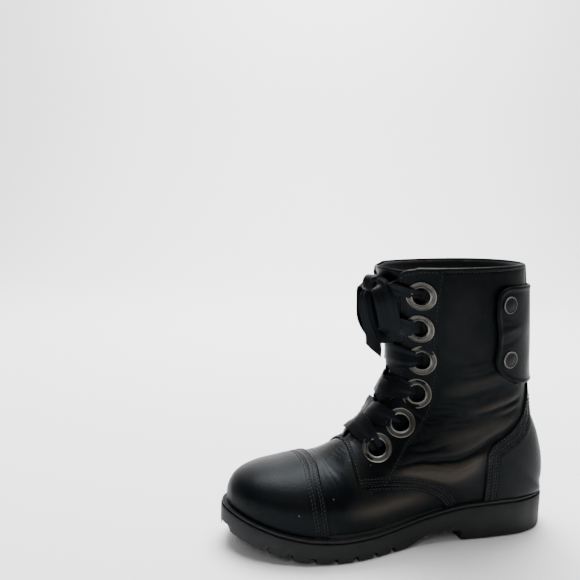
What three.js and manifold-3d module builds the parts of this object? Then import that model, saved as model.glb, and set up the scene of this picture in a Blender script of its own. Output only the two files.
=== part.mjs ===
// Combat boot for the left foot: six-eyelet leather shaft on a lugged rubber sole.
// Millimetres. +X points to the toe, +Y to the wearer's left (the outer side), +Z up, floor at Z = 0.

import * as THREE from 'three';
import { mergeVertices } from 'three/addons/utils/BufferGeometryUtils.js';
import Module from 'manifold-3d';

const wasm = await Module();
wasm.setup();

// Driving dimensions of the sole.
const soleLength = 288;
const ballWidth = 107;
const heelHeight = 29;
const foreHeight = 15.5;
const toeSpring = 17;
const archHeight = 8;
const treadDepth = 4;
const lugPitch = 17;
const lugGroove = 4.5;
const soleEdgeBevel = 1.5;
const weltThickness = 3.8;
const weltShelf = 6;
const weltUnder = 6;
const weltSetback = 0.8;
const insoleThickness = 3;

// Driving dimensions of the upper, measured up from the welt.
const instepHeight = 63;
const shaftHeight = 204;
const leather = 2;
const toeBulge = 1.2;
const quarterStep = 1;
const eyestayThickness = 0.9;
const capThickness = 1.3;
const counterThickness = 1.2;
const throatLow = 8.5;
const throatHigh = 27;
const throatFloor = 81;
const tongueThickness = 2.2;
const tongueOverlap = 15;
const collarCorner = 14;

// Driving dimensions of the fittings.
const eyeletCount = 6;
const eyeletPitch = 27.8;
const eyeletDrop = 22;
const eyeletSetback = 19.5;
const eyeletRadius = 11.9;
const eyeletHole = 6.9;
const eyeletWall = 0.9;
const eyeletCrest = 1.3;
const eyeletDish = 0.9;
const strapThickness = 1.8;
const studRadius = 7.4;
const studDome = 2.3;
const studPost = 2;
const ribbonWidth = 16;
const ribbonThickness = 1.2;
const gap = 0.3;

// How finely the curved forms are divided.
const crownSteps = 4;
const flankSteps = 3;
const plateStations = 30;
const holeSides = 12;

const names = (columns, rows) =>
  rows.map((row) => Object.fromEntries(columns.map((column, i) => [column, row[i]])));

// Smooth curve through one column of a table, without overshoot between rows.
function smooth(rows, key, at, column) {
  let i = 0;
  while (i < rows.length - 2 && at > rows[i + 1][key]) i += 1;
  const secant = (j) => {
    const a = rows[j];
    const b = rows[j + 1];
    return (b[column] - a[column]) / (b[key] - a[key]);
  };
  const slope = (j) => {
    if (j === 0) return secant(0);
    if (j === rows.length - 1) return secant(j - 1);
    const before = secant(j - 1);
    const after = secant(j);
    return before * after <= 0 ? 0 : (2 * before * after) / (before + after);
  };
  const a = rows[i];
  const b = rows[i + 1];
  const span = b[key] - a[key];
  const t = THREE.MathUtils.clamp((at - a[key]) / span, 0, 1);
  const t2 = t * t;
  const t3 = t2 * t;
  return (2 * t3 - 3 * t2 + 1) * a[column] + (t3 - 2 * t2 + t) * span * slope(i)
    + (3 * t2 - 2 * t3) * b[column] + (t3 - t2) * span * slope(i + 1);
}

// Sole outline: share of the length, then half widths as shares of the ball width.
const outline = names(['along', 'lateral', 'medial'], [
  [0, 0, 0],
  [0.012, 0.13, 0.13],
  [0.03, 0.2, 0.2],
  [0.08, 0.29, 0.29],
  [0.15, 0.335, 0.33],
  [0.25, 0.338, 0.315],
  [0.35, 0.325, 0.28],
  [0.45, 0.34, 0.29],
  [0.55, 0.4, 0.37],
  [0.63, 0.45, 0.46],
  [0.7, 0.468, 0.51],
  [0.78, 0.45, 0.52],
  [0.86, 0.385, 0.47],
  [0.93, 0.28, 0.36],
  [0.97, 0.175, 0.25],
  [0.99, 0.08, 0.15],
  [1, -0.03, 0.03],
]);
const turnOf = (share) => Math.acos(1 - 2 * THREE.MathUtils.clamp(share, 0, 1));
outline.forEach((row) => { row.turn = turnOf(row.along); });

// Sole from the side: how much of the heel's lift and of the toe spring each station has.
const profile = names(['along', 'lift', 'arch', 'spring'], [
  [0, 1, 1, 0],
  [0.15, 1, 1, 0],
  [0.28, 0.93, 1, 0],
  [0.4, 0.6, 1, 0],
  [0.5, 0.25, 0.6, 0],
  [0.6, 0.05, 0, 0],
  [0.7, 0, 0, 0],
  [0.78, 0, 0, 0.08],
  [0.86, 0, 0, 0.28],
  [0.93, 0, 0, 0.6],
  [1, 0, 0, 1],
]);
const profileAt = (x, column) => smooth(profile, 'along', x / soleLength, column);
const spring = (x) => toeSpring * profileAt(x, 'spring');
const soleTop = (x) => foreHeight + (heelHeight - foreHeight) * profileAt(x, 'lift') + spring(x);
const seat = (x) => soleTop(x) + weltThickness;
const soleUnder = (x) => treadDepth + (archHeight - treadDepth) * profileAt(x, 'arch') + spring(x);

const heelBreast = 0.322 * soleLength;
const treadStart = 0.49 * soleLength;

// Half width of an outline that stands in from the sole's by inset.
function halfWidth(x, inset, side) {
  const share = (x - inset) / (soleLength - 2 * inset);
  return smooth(outline, 'turn', turnOf(share), side) * (ballWidth - 2 * inset);
}

// Closed geometry to a solid: shared corners merged, empty triangles dropped, faces turned outwards.
function solidOf(source) {
  const bare = source.clone();
  bare.deleteAttribute('normal');
  bare.deleteAttribute('uv');
  const merged = mergeVertices(bare, 1e-4);
  const place = merged.attributes.position.array;
  const corners = merged.index.array;
  const kept = [];
  const at = (i) => new THREE.Vector3().fromArray(place, 3 * i);
  let volume = 0;
  for (let i = 0; i < corners.length; i += 3) {
    const [a, b, c] = [corners[i], corners[i + 1], corners[i + 2]];
    if (a !== b && b !== c && c !== a) {
      kept.push(a, b, c);
      volume += at(a).dot(at(b).cross(at(c)));
    }
  }
  const triVerts = Uint32Array.from(volume < 0 ? kept.reverse() : kept);
  return new wasm.Manifold(new wasm.Mesh({ numProp: 3, vertProperties: Float32Array.from(place), triVerts }));
}

// Skin over a row of closed loops with as many corners each, and a fan over each end.
function loft(loops) {
  const place = [];
  const index = [];
  const count = loops[0].length;
  loops.forEach((loop) => loop.forEach((p) => place.push(p.x, p.y, p.z)));
  for (let i = 0; i + 1 < loops.length; i += 1) {
    for (let j = 0; j < count; j += 1) {
      const a = i * count + j;
      const b = i * count + ((j + 1) % count);
      index.push(a, b, a + count, b, b + count, a + count);
    }
  }
  const cap = (i, flip) => {
    const middle = loops[i].reduce((sum, p) => sum.add(p), new THREE.Vector3()).divideScalar(count);
    const hub = place.length / 3;
    place.push(middle.x, middle.y, middle.z);
    for (let j = 0; j < count; j += 1) {
      const a = i * count + j;
      const b = i * count + ((j + 1) % count);
      index.push(hub, flip ? a : b, flip ? b : a);
    }
  };
  cap(0, false);
  cap(loops.length - 1, true);
  const geometry = new THREE.BufferGeometry();
  geometry.setAttribute('position', new THREE.Float32BufferAttribute(place, 3));
  geometry.setIndex(index);
  return solidOf(geometry);
}

// Plate inside the sole's outline, between two height functions of x.
function plate({ inset = 0, from = 0, to = soleLength, under, over, bevel = 0 }) {
  const start = Math.max(from, inset);
  const end = Math.min(to, soleLength - inset);
  const stations = [start];
  for (let i = 1; i < plateStations; i += 1) {
    const x = inset + (soleLength - 2 * inset) * (1 - Math.cos((Math.PI * i) / plateStations)) / 2;
    if (x > start + 1 && x < end - 1) stations.push(x);
    if (from <= inset && x <= start + 1 && x > start) stations.push(x);
    if (to >= soleLength - inset && x >= end - 1 && x < end) stations.push(x);
  }
  stations.push(end);
  return loft(stations.map((x) => {
    const left = halfWidth(x, inset, 'lateral');
    const right = -halfWidth(x, inset, 'medial');
    const cut = Math.min(bevel, (left - right) / 3);
    const low = under(x);
    return [
      new THREE.Vector3(x, left - cut, low),
      new THREE.Vector3(x, left, low + cut),
      new THREE.Vector3(x, left, over(x)),
      new THREE.Vector3(x, right, over(x)),
      new THREE.Vector3(x, right, low + cut),
      new THREE.Vector3(x, right + cut, low),
    ];
  }));
}

// Prism seen from the side: a closed outline in X and Z, from one Y to another.
function sidePrism(points, yFrom, yTo) {
  const shape = new THREE.Shape(points.map(([x, z]) => new THREE.Vector2(x, z)));
  const geometry = new THREE.ExtrudeGeometry(shape, { depth: yTo - yFrom, bevelEnabled: false });
  geometry.rotateX(Math.PI / 2);
  geometry.translate(0, yTo, 0);
  return solidOf(geometry);
}

// Prism seen from the front: a closed outline in Y and Z, from one X to another.
function frontPrism(points, xFrom, xTo) {
  const shape = new THREE.Shape(points.map(([y, z]) => new THREE.Vector2(y, z)));
  const geometry = new THREE.ExtrudeGeometry(shape, { depth: xTo - xFrom, bevelEnabled: false });
  geometry.rotateX(Math.PI / 2);
  geometry.rotateZ(Math.PI / 2);
  geometry.translate(xFrom, 0, 0);
  return solidOf(geometry);
}

// Rounded course through a few points, for the edge of a region.
function course(points, steps) {
  const curve = new THREE.SplineCurve(points.map(([x, y]) => new THREE.Vector2(x, y)));
  return curve.getPoints(steps).map((p) => [p.x, p.y]);
}

// The upper as a fan of sections. Each is a closed loop between a ridge point, on the vamp, instep
// and shaft front, and a base point, which runs along the welt and then up the back.
// Along: share of the upper's length. Rise: 0 at the welt, 1 at the instep, 2 at the collar.
// Foot: 1 where the loop stands on the welt, 0 on the back. Lateral, medial: least half widths as
// shares of the ball width. Widest: where the loop is widest, from base to ridge. Crown and heel:
// how full the loop is above and below its widest place, 2 being an ellipse.
const sections = names(
  ['ridge', 'ridgeRise', 'base', 'baseRise', 'foot', 'lateral', 'medial', 'widest', 'crown', 'heel'],
  [
    [1, 0.04, 1, 0.04, 1, 0, 0, 0.35, 2.2, 2],
    [0.995, 0.18, 0.993, 0, 1, 0, 0, 0.35, 2.2, 2],
    [0.98, 0.31, 0.976, 0, 1, 0, 0, 0.35, 2.2, 2],
    [0.951, 0.43, 0.94, 0, 1, 0, 0, 0.35, 2.2, 2],
    [0.9, 0.56, 0.885, 0, 1, 0, 0, 0.34, 2.2, 2],
    [0.82, 0.68, 0.798, 0, 1, 0, 0, 0.32, 2.1, 2],
    [0.733, 0.8, 0.696, 0, 1, 0, 0, 0.32, 2, 2],
    [0.667, 0.96, 0.587, 0, 1, 0.36, 0.36, 0.35, 1.9, 2],
    [0.609, 1.067, 0.471, 0, 1, 0.35, 0.35, 0.4, 1.8, 2],
    [0.569, 1.163, 0.34, 0, 1, 0.338, 0.338, 0.42, 1.8, 2],
    [0.547, 1.26, 0.202, 0, 1, 0.334, 0.334, 0.42, 1.8, 2.1],
    [0.529, 1.36, 0.085, 0, 1, 0.336, 0.336, 0.42, 1.85, 2.2],
    [0.522, 1.44, 0.024, 0, 1, 0.34, 0.34, 0.42, 1.95, 2.4],
    [0.518, 1.5, 0.002, 0.13, 0, 0.344, 0.344, 0.42, 2, 2.6],
    [0.518, 1.58, 0.009, 0.38, 0, 0.35, 0.35, 0.42, 2, 2.7],
    [0.525, 1.67, 0.033, 0.73, 0, 0.36, 0.36, 0.43, 2, 2.7],
    [0.54, 1.766, 0.07, 1.075, 0, 0.375, 0.375, 0.45, 2, 2.6],
    [0.555, 1.86, 0.089, 1.29, 0, 0.39, 0.39, 0.47, 2.05, 2.5],
    [0.573, 1.94, 0.099, 1.578, 0, 0.405, 0.405, 0.48, 2.1, 2.4],
    [0.587, 2.01, 0.116, 1.957, 0, 0.415, 0.415, 0.48, 2.1, 2.3],
  ],
);
sections.forEach((row, i) => { row.order = i; });
const lastSection = sections.length - 1;
// Loops between one section and the next, closer round the toe and the heel.
const divisions = [2, 1, 1, 1, 2, 2, 2, 2, 2, 2, 1, 1, 1, 1, 1, 1, 1, 1, 1];

const alongX = (share) => weltShelf + share * (soleLength - 2 * weltShelf);
const riseZ = (share) => (share <= 1
  ? share * instepHeight
  : instepHeight + (share - 1) * (shaftHeight - instepHeight));

// Corner of a section: phase 0 on the ridge, 1 at the widest place, 2 on the base.
function sectionPoint(order, side, phase) {
  const value = (column) => smooth(sections, 'order', order, column);
  const ridgeX = alongX(value('ridge'));
  const baseX = alongX(value('base'));
  const ridge = new THREE.Vector3(ridgeX, 0, seat(ridgeX) + riseZ(value('ridgeRise')));
  const base = new THREE.Vector3(baseX, 0, seat(baseX) + riseZ(value('baseRise')));
  const foot = value('foot');
  const baseHalf = {
    lateral: foot * halfWidth(baseX, weltShelf, 'lateral'),
    medial: foot * halfWidth(baseX, weltShelf, 'medial'),
  };
  const bulge = toeBulge * Math.min(1, (lastSection - order) / 4, order);
  const widest = {
    lateral: Math.max(value('lateral') * ballWidth, baseHalf.lateral + bulge),
    medial: Math.max(value('medial') * ballWidth, baseHalf.medial + bulge),
  };
  const centre = (widest.lateral - widest.medial) / 2;
  const half = (widest.lateral + widest.medial) / 2;
  const level = value('widest');
  const sign = side === 'lateral' ? 1 : -1;
  let y;
  let height;
  if (phase <= 1) {
    const turn = (1 - phase) * Math.PI / 2;
    const power = 2 / value('crown');
    y = centre + sign * half * Math.cos(turn) ** power;
    height = level + (1 - level) * Math.sin(turn) ** power;
  } else {
    const turn = (2 - phase) * Math.PI / 2;
    const power = 2 / value('heel');
    y = sign * (baseHalf[side] + (widest[side] - baseHalf[side]) * Math.sin(turn) ** power);
    height = level * (1 - Math.abs(Math.cos(turn)) ** power);
  }
  if (order <= 0) y = centre;
  const point = base.lerp(ridge, height);
  point.y = y;
  return point;
}

// Outward direction of the upper's surface at a section corner.
function sectionNormal(order, side, phase) {
  if (order <= 0) return new THREE.Vector3(1, 0, 0);
  const step = 0.02;
  const other = side === 'lateral' ? 'medial' : 'lateral';
  const ahead = sectionPoint(Math.min(order + step, lastSection), side, phase);
  const along = ahead.sub(sectionPoint(Math.max(order - step, 0), side, phase));
  const down = sectionPoint(order, side, Math.min(phase + step, 2));
  const up = phase < step
    ? sectionPoint(order, other, step)
    : sectionPoint(order, side, phase - step);
  const normal = along.cross(down.sub(up)).normalize();
  return side === 'lateral' ? normal.negate() : normal;
}

// The upper's form moved out by offset, its base let down by drop and its collar raised by rise.
function form({ offset = 0, drop = 0, rise = 0 }) {
  const orders = [];
  divisions.forEach((count, i) => {
    for (let k = 0; k < count; k += 1) orders.push(i + k / count);
  });
  orders.push(lastSection);
  const phases = [];
  for (let i = 0; i <= crownSteps; i += 1) phases.push(i / crownSteps);
  for (let i = 1; i <= flankSteps; i += 1) phases.push(1 + i / flankSteps);
  const corner = (order, side, phase) => {
    const point = sectionPoint(order, side, phase);
    point.addScaledVector(sectionNormal(order, side, phase), offset);
    const foot = smooth(sections, 'order', order, 'foot');
    if (phase === 2) point.z -= drop * foot;
    return point;
  };
  const loops = orders.map((order) => [
    ...[...phases].reverse().map((phase) => corner(order, 'lateral', phase)),
    ...phases.slice(1).map((phase) => corner(order, 'medial', phase)),
  ]);
  if (rise > 0) {
    loops.push(loops[loops.length - 1].map((p) => p.clone().add(new THREE.Vector3(0, 0, rise))));
  }
  return loft(loops);
}

// Point and outward direction on the upper, at an arc length down from the ridge.
function onUpper(order, side, arc) {
  const step = 1 / 40;
  let walked = 0;
  let phase = 0;
  let here = sectionPoint(order, side, 0);
  while (walked < arc && phase < 2) {
    const next = sectionPoint(order, side, phase + step);
    const length = next.distanceTo(here);
    const part = Math.min(1, (arc - walked) / length);
    here = sectionPoint(order, side, phase + part * step);
    phase += part * step;
    walked += part * length + 1e-9;
  }
  return { point: here, normal: sectionNormal(order, side, phase) };
}

const everywhere = 2 * ballWidth;
const belowWelt = plate({ inset: -12, under: () => -60, over: (x) => seat(x) + gap });

// Rubber outsole: arched body, filler inside the welt, heel block and forefoot tread with lugs.
const weltInner = weltShelf + weltUnder;
const body = plate({ under: soleUnder, over: (x) => soleTop(x) - gap, bevel: soleEdgeBevel });
const filler = plate({ inset: weltInner + gap + 0.2, under: (x) => soleTop(x) - 2, over: seat });
const heelBlock = plate({
  to: heelBreast, under: () => 0, over: (x) => soleUnder(x) + 2 * soleEdgeBevel, bevel: soleEdgeBevel,
});
const tread = plate({
  from: treadStart, under: spring, over: (x) => soleUnder(x) + 2 * soleEdgeBevel, bevel: soleEdgeBevel,
});

// Grooves between the lugs: in from both edges, and one down the middle of the tread.
function grooveAt(x, from, to, depth) {
  const block = new THREE.BoxGeometry(lugGroove, to - from, 2 * depth);
  block.translate(x, (from + to) / 2, spring(x));
  return solidOf(block);
}
const lugReach = 0.24 * ballWidth;
const grooves = [];
for (let x = treadStart + lugPitch; x < 0.97 * soleLength; x += lugPitch) {
  grooves.push(grooveAt(x, lugReach, everywhere, treadDepth));
  grooves.push(grooveAt(x + lugPitch / 4, -everywhere, -lugReach, treadDepth));
  grooves.push(grooveAt(x + lugPitch / 2, 5 - lugReach, lugReach - 5, treadDepth));
}
for (let x = lugPitch; x < heelBreast - lugGroove; x += lugPitch) {
  grooves.push(grooveAt(x, 0.2 * ballWidth, everywhere, treadDepth * 0.75));
  grooves.push(grooveAt(x, -everywhere, -0.2 * ballWidth, treadDepth * 0.75));
}
const outsole = grooves.reduce((solid, groove) => solid.subtract(groove),
  body.add(filler).add(heelBlock).add(tread));

// Welt: a band round the edge that the upper stands on.
const welt = plate({ inset: weltSetback, under: soleTop, over: seat })
  .subtract(plate({ inset: weltInner, under: (x) => soleTop(x) - 5, over: (x) => seat(x) + 5 }));

// Insole on the filler, inside the upper.
const insoleClear = 3.4;
const insoleInset = weltShelf + leather + insoleClear;
const insole = plate({
  inset: insoleInset, under: (x) => seat(x) + gap, over: (x) => seat(x) + gap + insoleThickness,
});

// Upper's regions as seen from the side, in shares of the sole's length and the shaft's height.
const sideX = (share) => share * soleLength;
const sideZ = (share) => share * shaftHeight;
const region = (rows) => rows.map(([x, z]) => [sideX(x), sideZ(z)]);
const farBehind = -0.1;
const farAbove = 1.3;
const farAhead = 1.1;

// Quarters: everything behind the vamp's edge, which drops from the throat and curves to the welt.
const quarterEdge = [
  [0.655, 0.4], [0.653, 0.334], [0.64, 0.263], [0.6, 0.272], [0.549, 0.275], [0.474, 0.266],
  [0.435, 0.243], [0.411, 0.217], [0.38, 0.18], [0.358, 0.14], [0.35, 0.05],
];
const quarterRegion = sidePrism([
  ...region([[farBehind, 0.05], [farBehind, farAbove], [0.655, farAbove]]),
  ...region(quarterEdge),
], -everywhere, everywhere);

// Toe cap: everything ahead of a seam that bows forward on the flanks.
const capEdge = course(region([
  [0.752, 0.02], [0.757, 0.116], [0.765, 0.224], [0.762, 0.292], [0.755, 0.335], [0.748, 0.42],
]), 8);
const capRegion = sidePrism([
  ...capEdge, ...region([[farAhead, 0.42], [farAhead, 0.02]]),
], -everywhere, everywhere);

// Heel counter with a back stay that runs up to the collar.
const counterEdge = region([
  [0.264, 0.02], [0.262, 0.3], [0.264, 0.365], [0.25, 0.392], [0.217, 0.424], [0.19, 0.455],
  [0.168, 0.496], [0.145, 0.53], [0.132, 0.565], [0.126, 0.62], [0.122, 0.68], [0.125, 0.95],
  [0.145, farAbove],
]);
const counterRegion = sidePrism([
  ...counterEdge, ...region([[farBehind, farAbove], [farBehind, 0.02]]),
], -everywhere, everywhere);

// Strap round the back of the shaft, its front ends rounded.
const strapRegion = sidePrism(region([
  [farBehind, 0.645], [0.19, 0.655], [0.225, 0.672], [0.256, 0.7], [0.272, 0.745], [0.271, 0.82],
  [0.274, 0.87], [0.285, 0.94], [0.286, 1.0], [0.277, 1.028], [0.262, 1.04], [0.23, 1.047],
  [farBehind, 1.047],
]), -everywhere, everywhere);

// Throat between the facings, seen from the front: rise is a share of its height, flare goes from
// the half width at its floor to the half width at the collar.
const throatTable = names(['rise', 'flare'], [
  [0, 0], [0.14, 0.03], [0.28, 0.12], [0.5, 0.17], [0.65, 0.26], [0.75, 0.46], [0.86, 0.72], [1, 1],
]);
const throatTop = seat(0) + shaftHeight;
function throatHalf(z) {
  const rise = THREE.MathUtils.clamp((z - throatFloor) / (throatTop - throatFloor), 0, 1);
  return throatLow + (throatHigh - throatLow) * smooth(throatTable, 'rise', rise, 'flare');
}
function throatOutline(margin) {
  const low = throatLow + margin;
  const floorZ = throatFloor - margin * 0.6;
  const edge = [];
  for (let i = 3; i < 6; i += 1) {
    const turn = Math.PI * (1 + i / 6);
    edge.push([low * Math.cos(turn), floorZ + low * 0.6 + low * 0.6 * Math.sin(turn)]);
  }
  throatTable.slice(1).forEach((row) => {
    const z = throatFloor + row.rise * (throatTop - throatFloor);
    edge.push([throatHalf(z) + margin, z]);
  });
  return edge;
}
const mirrored = (edge) => [...edge, ...edge.map(([y, z]) => [-y, z]).reverse().slice(0, -1)];
const throatBack = 0.33 * soleLength;
const throat = frontPrism(
  mirrored([...throatOutline(0), [throatHigh, 2 * throatTop]]), throatBack, everywhere + soleLength,
);

// Collar: cut off in one slanted plane, with rounded front corners.
const collarLine = [2, -1].map((t) => sectionPoint(lastSection, 'lateral', 2)
  .lerp(sectionPoint(lastSection, 'lateral', 0), t));
const aboveCollar = sidePrism([
  ...collarLine.map((p) => [p.x, p.z]),
  ...collarLine.map((p) => [p.x, p.z + everywhere]).reverse(),
], -everywhere, everywhere);
const collarX = sideX(0.545);
const collarZ = seat(collarX) + shaftHeight;
const collarCut = aboveCollar.add(sidePrism([
  [collarX - collarCorner, collarZ + 1],
  [collarX - 0.4 * collarCorner, collarZ - 0.1 * collarCorner],
  [collarX - 0.1 * collarCorner, collarZ - 0.4 * collarCorner],
  [collarX + 0.1 * collarCorner, collarZ - 1.1 * collarCorner],
  [collarX + 5 * collarCorner, collarZ - 1.1 * collarCorner],
  [collarX + 5 * collarCorner, collarZ + 5 * collarCorner],
  [collarX - collarCorner, collarZ + 5 * collarCorner],
], -everywhere, everywhere));

// Eyelet places: a row down each facing, behind its front edge.
const eyestayOut = quarterStep + gap + eyestayThickness;
function facingArc(order, side) {
  const step = 0.04;
  const inside = (p) => throatHalf(p.z) - Math.abs(p.y);
  let arc = 0;
  let here = sectionPoint(order, side, 0);
  for (let phase = step; phase < 1; phase += step) {
    const next = sectionPoint(order, side, phase);
    const before = inside(here);
    const after = inside(next);
    const length = next.distanceTo(here);
    if (after <= 0) return arc + (length * before) / (before - after);
    arc += length;
    here = next;
  }
  return arc;
}
function eyeletRow(side) {
  const step = 0.02;
  const places = [];
  let order = lastSection;
  let walked = 0;
  let target = eyeletDrop;
  let here = onUpper(order, side, facingArc(order, side) + eyeletSetback);
  while (places.length < eyeletCount && order > 3) {
    order -= step;
    const arc = facingArc(order, side) + eyeletSetback;
    const next = onUpper(order, side, arc);
    walked += next.point.distanceTo(here.point);
    here = next;
    if (walked >= target) {
      places.push({ order, side, arc, ...here });
      target += eyeletPitch;
    }
  }
  return places;
}
const eyelets = { lateral: eyeletRow('lateral'), medial: eyeletRow('medial') };

// Turned solid whose axis is moved onto a place of the upper, with its foot at a height above it.
function turnedOn(place, profilePoints, lift, sides) {
  const points = profilePoints.map(([r, h]) => new THREE.Vector2(r, h));
  const geometry = new THREE.LatheGeometry(points, sides);
  const turn = new THREE.Quaternion().setFromUnitVectors(new THREE.Vector3(0, 1, 0), place.normal);
  geometry.applyQuaternion(turn);
  const at = place.point.clone().addScaledVector(place.normal, lift);
  geometry.translate(at.x, at.y, at.z);
  return solidOf(geometry);
}
const drum = (radius, low, high) => [[0, low], [radius, low], [radius, high], [0, high]];

const allEyelets = [...eyelets.lateral, ...eyelets.medial];
const barrel = eyeletHole + eyeletWall;
const deep = 3 * leather;
const barrelCuts = allEyelets.map((place) => turnedOn(place, drum(barrel + gap, -deep, deep), 0, holeSides));
const flangeCuts = (low) => allEyelets.map((place) => turnedOn(
  place, drum(eyeletRadius + gap, low, deep), 0, holeSides,
));
const cutBy = (solid, cuts) => cuts.reduce((left, cut) => left.subtract(cut), solid);

// Upper: vamp and shaft as one wall, the quarters a step thicker.
const inner = form({ offset: -leather, drop: 8, rise: 12 });
const quarterForm = form({ offset: quarterStep, drop: 3, rise: 6 });
const upper = cutBy(form({ drop: 3, rise: 6 })
  .add(quarterForm.intersect(quarterRegion))
  .subtract(inner)
  .subtract(belowWelt)
  .subtract(throat)
  .subtract(collarCut), [...barrelCuts, ...flangeCuts(eyestayOut - eyeletDish - gap)]);

// Layer of leather over the upper, cut to a region.
function overlay(from, thickness, cutTo) {
  return form({ offset: from + thickness, drop: 3, rise: 6 })
    .intersect(cutTo)
    .subtract(form({ offset: from, drop: 6, rise: 12 }))
    .subtract(belowWelt)
    .subtract(collarCut);
}
const toeCap = overlay(gap, capThickness, capRegion);
const counterFrom = quarterStep + gap;
const counter = overlay(counterFrom, counterThickness, counterRegion);
const strapFrom = counterFrom + counterThickness + gap;

// Eyestays: a band down each facing, as wide as the eyelets need.
const stayBand = eyeletSetback + eyeletRadius + 4;
function stayEdge(side) {
  const edge = [];
  for (let order = lastSection; order > 6.9; order -= 0.5) {
    edge.push(onUpper(order, side, facingArc(order, side) + stayBand).point);
  }
  return edge;
}
const stayLine = stayEdge('lateral').map((p) => [p.x, p.z]).filter(([, z]) => z > 0.36 * shaftHeight);
const stayRegion = sidePrism([
  [stayLine[0][0], farAbove * shaftHeight], ...stayLine,
  ...region([[0.6, 0.3], [0.642, 0.28], [0.653, 0.334], [0.655, farAbove]]),
], -everywhere, everywhere);
const stays = cutBy(
  overlay(counterFrom, eyestayThickness, stayRegion).subtract(throat), flangeCuts(-deep),
);
const halfSpace = (side) => (side === 'lateral'
  ? frontPrism([[0, -everywhere], [everywhere, -everywhere], [everywhere, everywhere * 2], [0, everywhere * 2]],
    -everywhere, everywhere * 2)
  : frontPrism([[-everywhere, -everywhere], [0, -everywhere], [0, everywhere * 2], [-everywhere, everywhere * 2]],
    -everywhere, everywhere * 2));

// Tongue under the facings, from below the vamp's edge to the collar.
const tongueTop = seat(collarX) + 0.985 * shaftHeight;
const tongueSide = throatOutline(tongueOverlap).filter(([, z]) => z < tongueTop - tongueOverlap);
const tongueRegion = frontPrism(mirrored([
  ...tongueSide,
  [throatHigh + 0.6 * tongueOverlap, tongueTop - 0.6 * tongueOverlap],
  [throatHigh, tongueTop],
]), throatBack + 4, soleLength * 0.71);
const tongueOut = -leather - gap;
const tongue = form({ offset: tongueOut })
  .subtract(form({ offset: tongueOut - tongueThickness, drop: 6, rise: 6 }))
  .intersect(tongueRegion);

// Studs: two on each end of the strap.
const studSpots = names(['x', 'z'], [[0.247, 0.975], [0.229, 0.757]]);
function sideSpot(x, z, side) {
  let best = null;
  for (let order = 12; order < lastSection; order += 0.05) {
    for (let phase = 0.8; phase < 1.9; phase += 0.02) {
      const point = sectionPoint(order, side, phase);
      const miss = Math.hypot(point.x - x, point.z - z);
      if (best === null || miss < best.miss) best = { miss, order, phase, point };
    }
  }
  return { point: best.point, normal: sectionNormal(best.order, side, best.phase) };
}
const studs = ['lateral', 'medial'].flatMap((side) => studSpots.map(
  (spot) => sideSpot(sideX(spot.x), sideZ(spot.z), side),
));
const strapOut = strapFrom + strapThickness;
const studHoles = studs.map((place) => turnedOn(place, drum(studPost + gap, -3, 6), strapFrom, 12));
const strap = studHoles.reduce((solid, hole) => solid.subtract(hole),
  overlay(strapFrom, strapThickness, strapRegion));

// Ribbon strip over the upper, from one place to another, each given as order and signed
// arc. Over: how far it lies above the others, in thicknesses.
function strip(from, to, over) {
  const steps = 4;
  const at = (t) => {
    const order = THREE.MathUtils.lerp(from.order, to.order, t);
    const arc = THREE.MathUtils.lerp(from.arc, to.arc, t);
    const spot = onUpper(order, arc >= 0 ? 'lateral' : 'medial', Math.abs(arc));
    const lift = THREE.MathUtils.lerp(laceLift, laceSpan, Math.sin(Math.PI * t)) + over * ribbonThickness;
    return { point: spot.point.addScaledVector(spot.normal, lift), normal: spot.normal };
  };
  const places = Array.from({ length: steps + 1 }, (_, i) => at(i / steps));
  return loft(places.map((here, i) => {
    const ahead = places[Math.min(i + 1, steps)].point.clone();
    const along = ahead.sub(places[Math.max(i - 1, 0)].point).normalize();
    const across = along.clone().cross(here.normal).normalize();
    const up = across.clone().cross(along).normalize();
    const narrow = i === 0 || i === steps ? 0.6 : 1;
    const corner = (a, b) => here.point.clone()
      .addScaledVector(across, (a * narrow * ribbonWidth) / 2)
      .addScaledVector(up, (b * ribbonThickness) / 2);
    return [corner(-1, -1), corner(1, -1), corner(1, 1), corner(-1, 1)];
  }));
}
const laceLift = eyestayOut + eyeletCrest + gap + 1.25 * ribbonThickness;
const laceSpan = laceLift + 0.6;
const laceSpot = (place, sign) => ({ order: place.order, arc: sign * place.arc });
const crossings = [];
for (let i = 0; i + 1 < eyeletCount; i += 1) {
  const stagger = 0.3 - 0.3 * (i % 2);
  crossings.push(strip(laceSpot(eyelets.lateral[i + 1], 1), laceSpot(eyelets.medial[i], -1), 0.6 + stagger));
  crossings.push(strip(laceSpot(eyelets.medial[i + 1], -1), laceSpot(eyelets.lateral[i], 1), stagger));
}
[0, eyeletCount - 1].forEach((i) => {
  crossings.push(strip(laceSpot(eyelets.lateral[i], 1), laceSpot(eyelets.medial[i], -1), 0.15));
});

// Knot in front of the tongue, level with the top eyelets.
const knotOrder = eyelets.lateral[0].order;
const knotPlace = onUpper(knotOrder, 'lateral', 0);
const knotSize = { x: 7, y: 10, z: 8 };
const knotCentre = knotPlace.point.clone().addScaledVector(knotPlace.normal, 1.1 * knotSize.x);
function ellipsoid(margin) {
  const ball = new THREE.SphereGeometry(1, 12, 8);
  ball.scale(knotSize.x + margin, knotSize.y + margin, knotSize.z + margin);
  ball.translate(knotCentre.x, knotCentre.y, knotCentre.z);
  return solidOf(ball);
}
// The outer skin alone is kept: pockets that close between two runs of ribbon are filled.
const eyeletRoom = drum(eyeletRadius + gap, -deep, eyestayOut + eyeletCrest + gap);
const laceCrossings = cutBy(
  crossings.reduce((solid, bar) => solid.add(bar)),
  allEyelets.map((place) => turnedOn(place, eyeletRoom, 0, holeSides)),
)
  .subtract(ellipsoid(gap))
  .decompose()
  .reduce((most, piece) => (piece.volume() > most.volume() ? piece : most));

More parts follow.
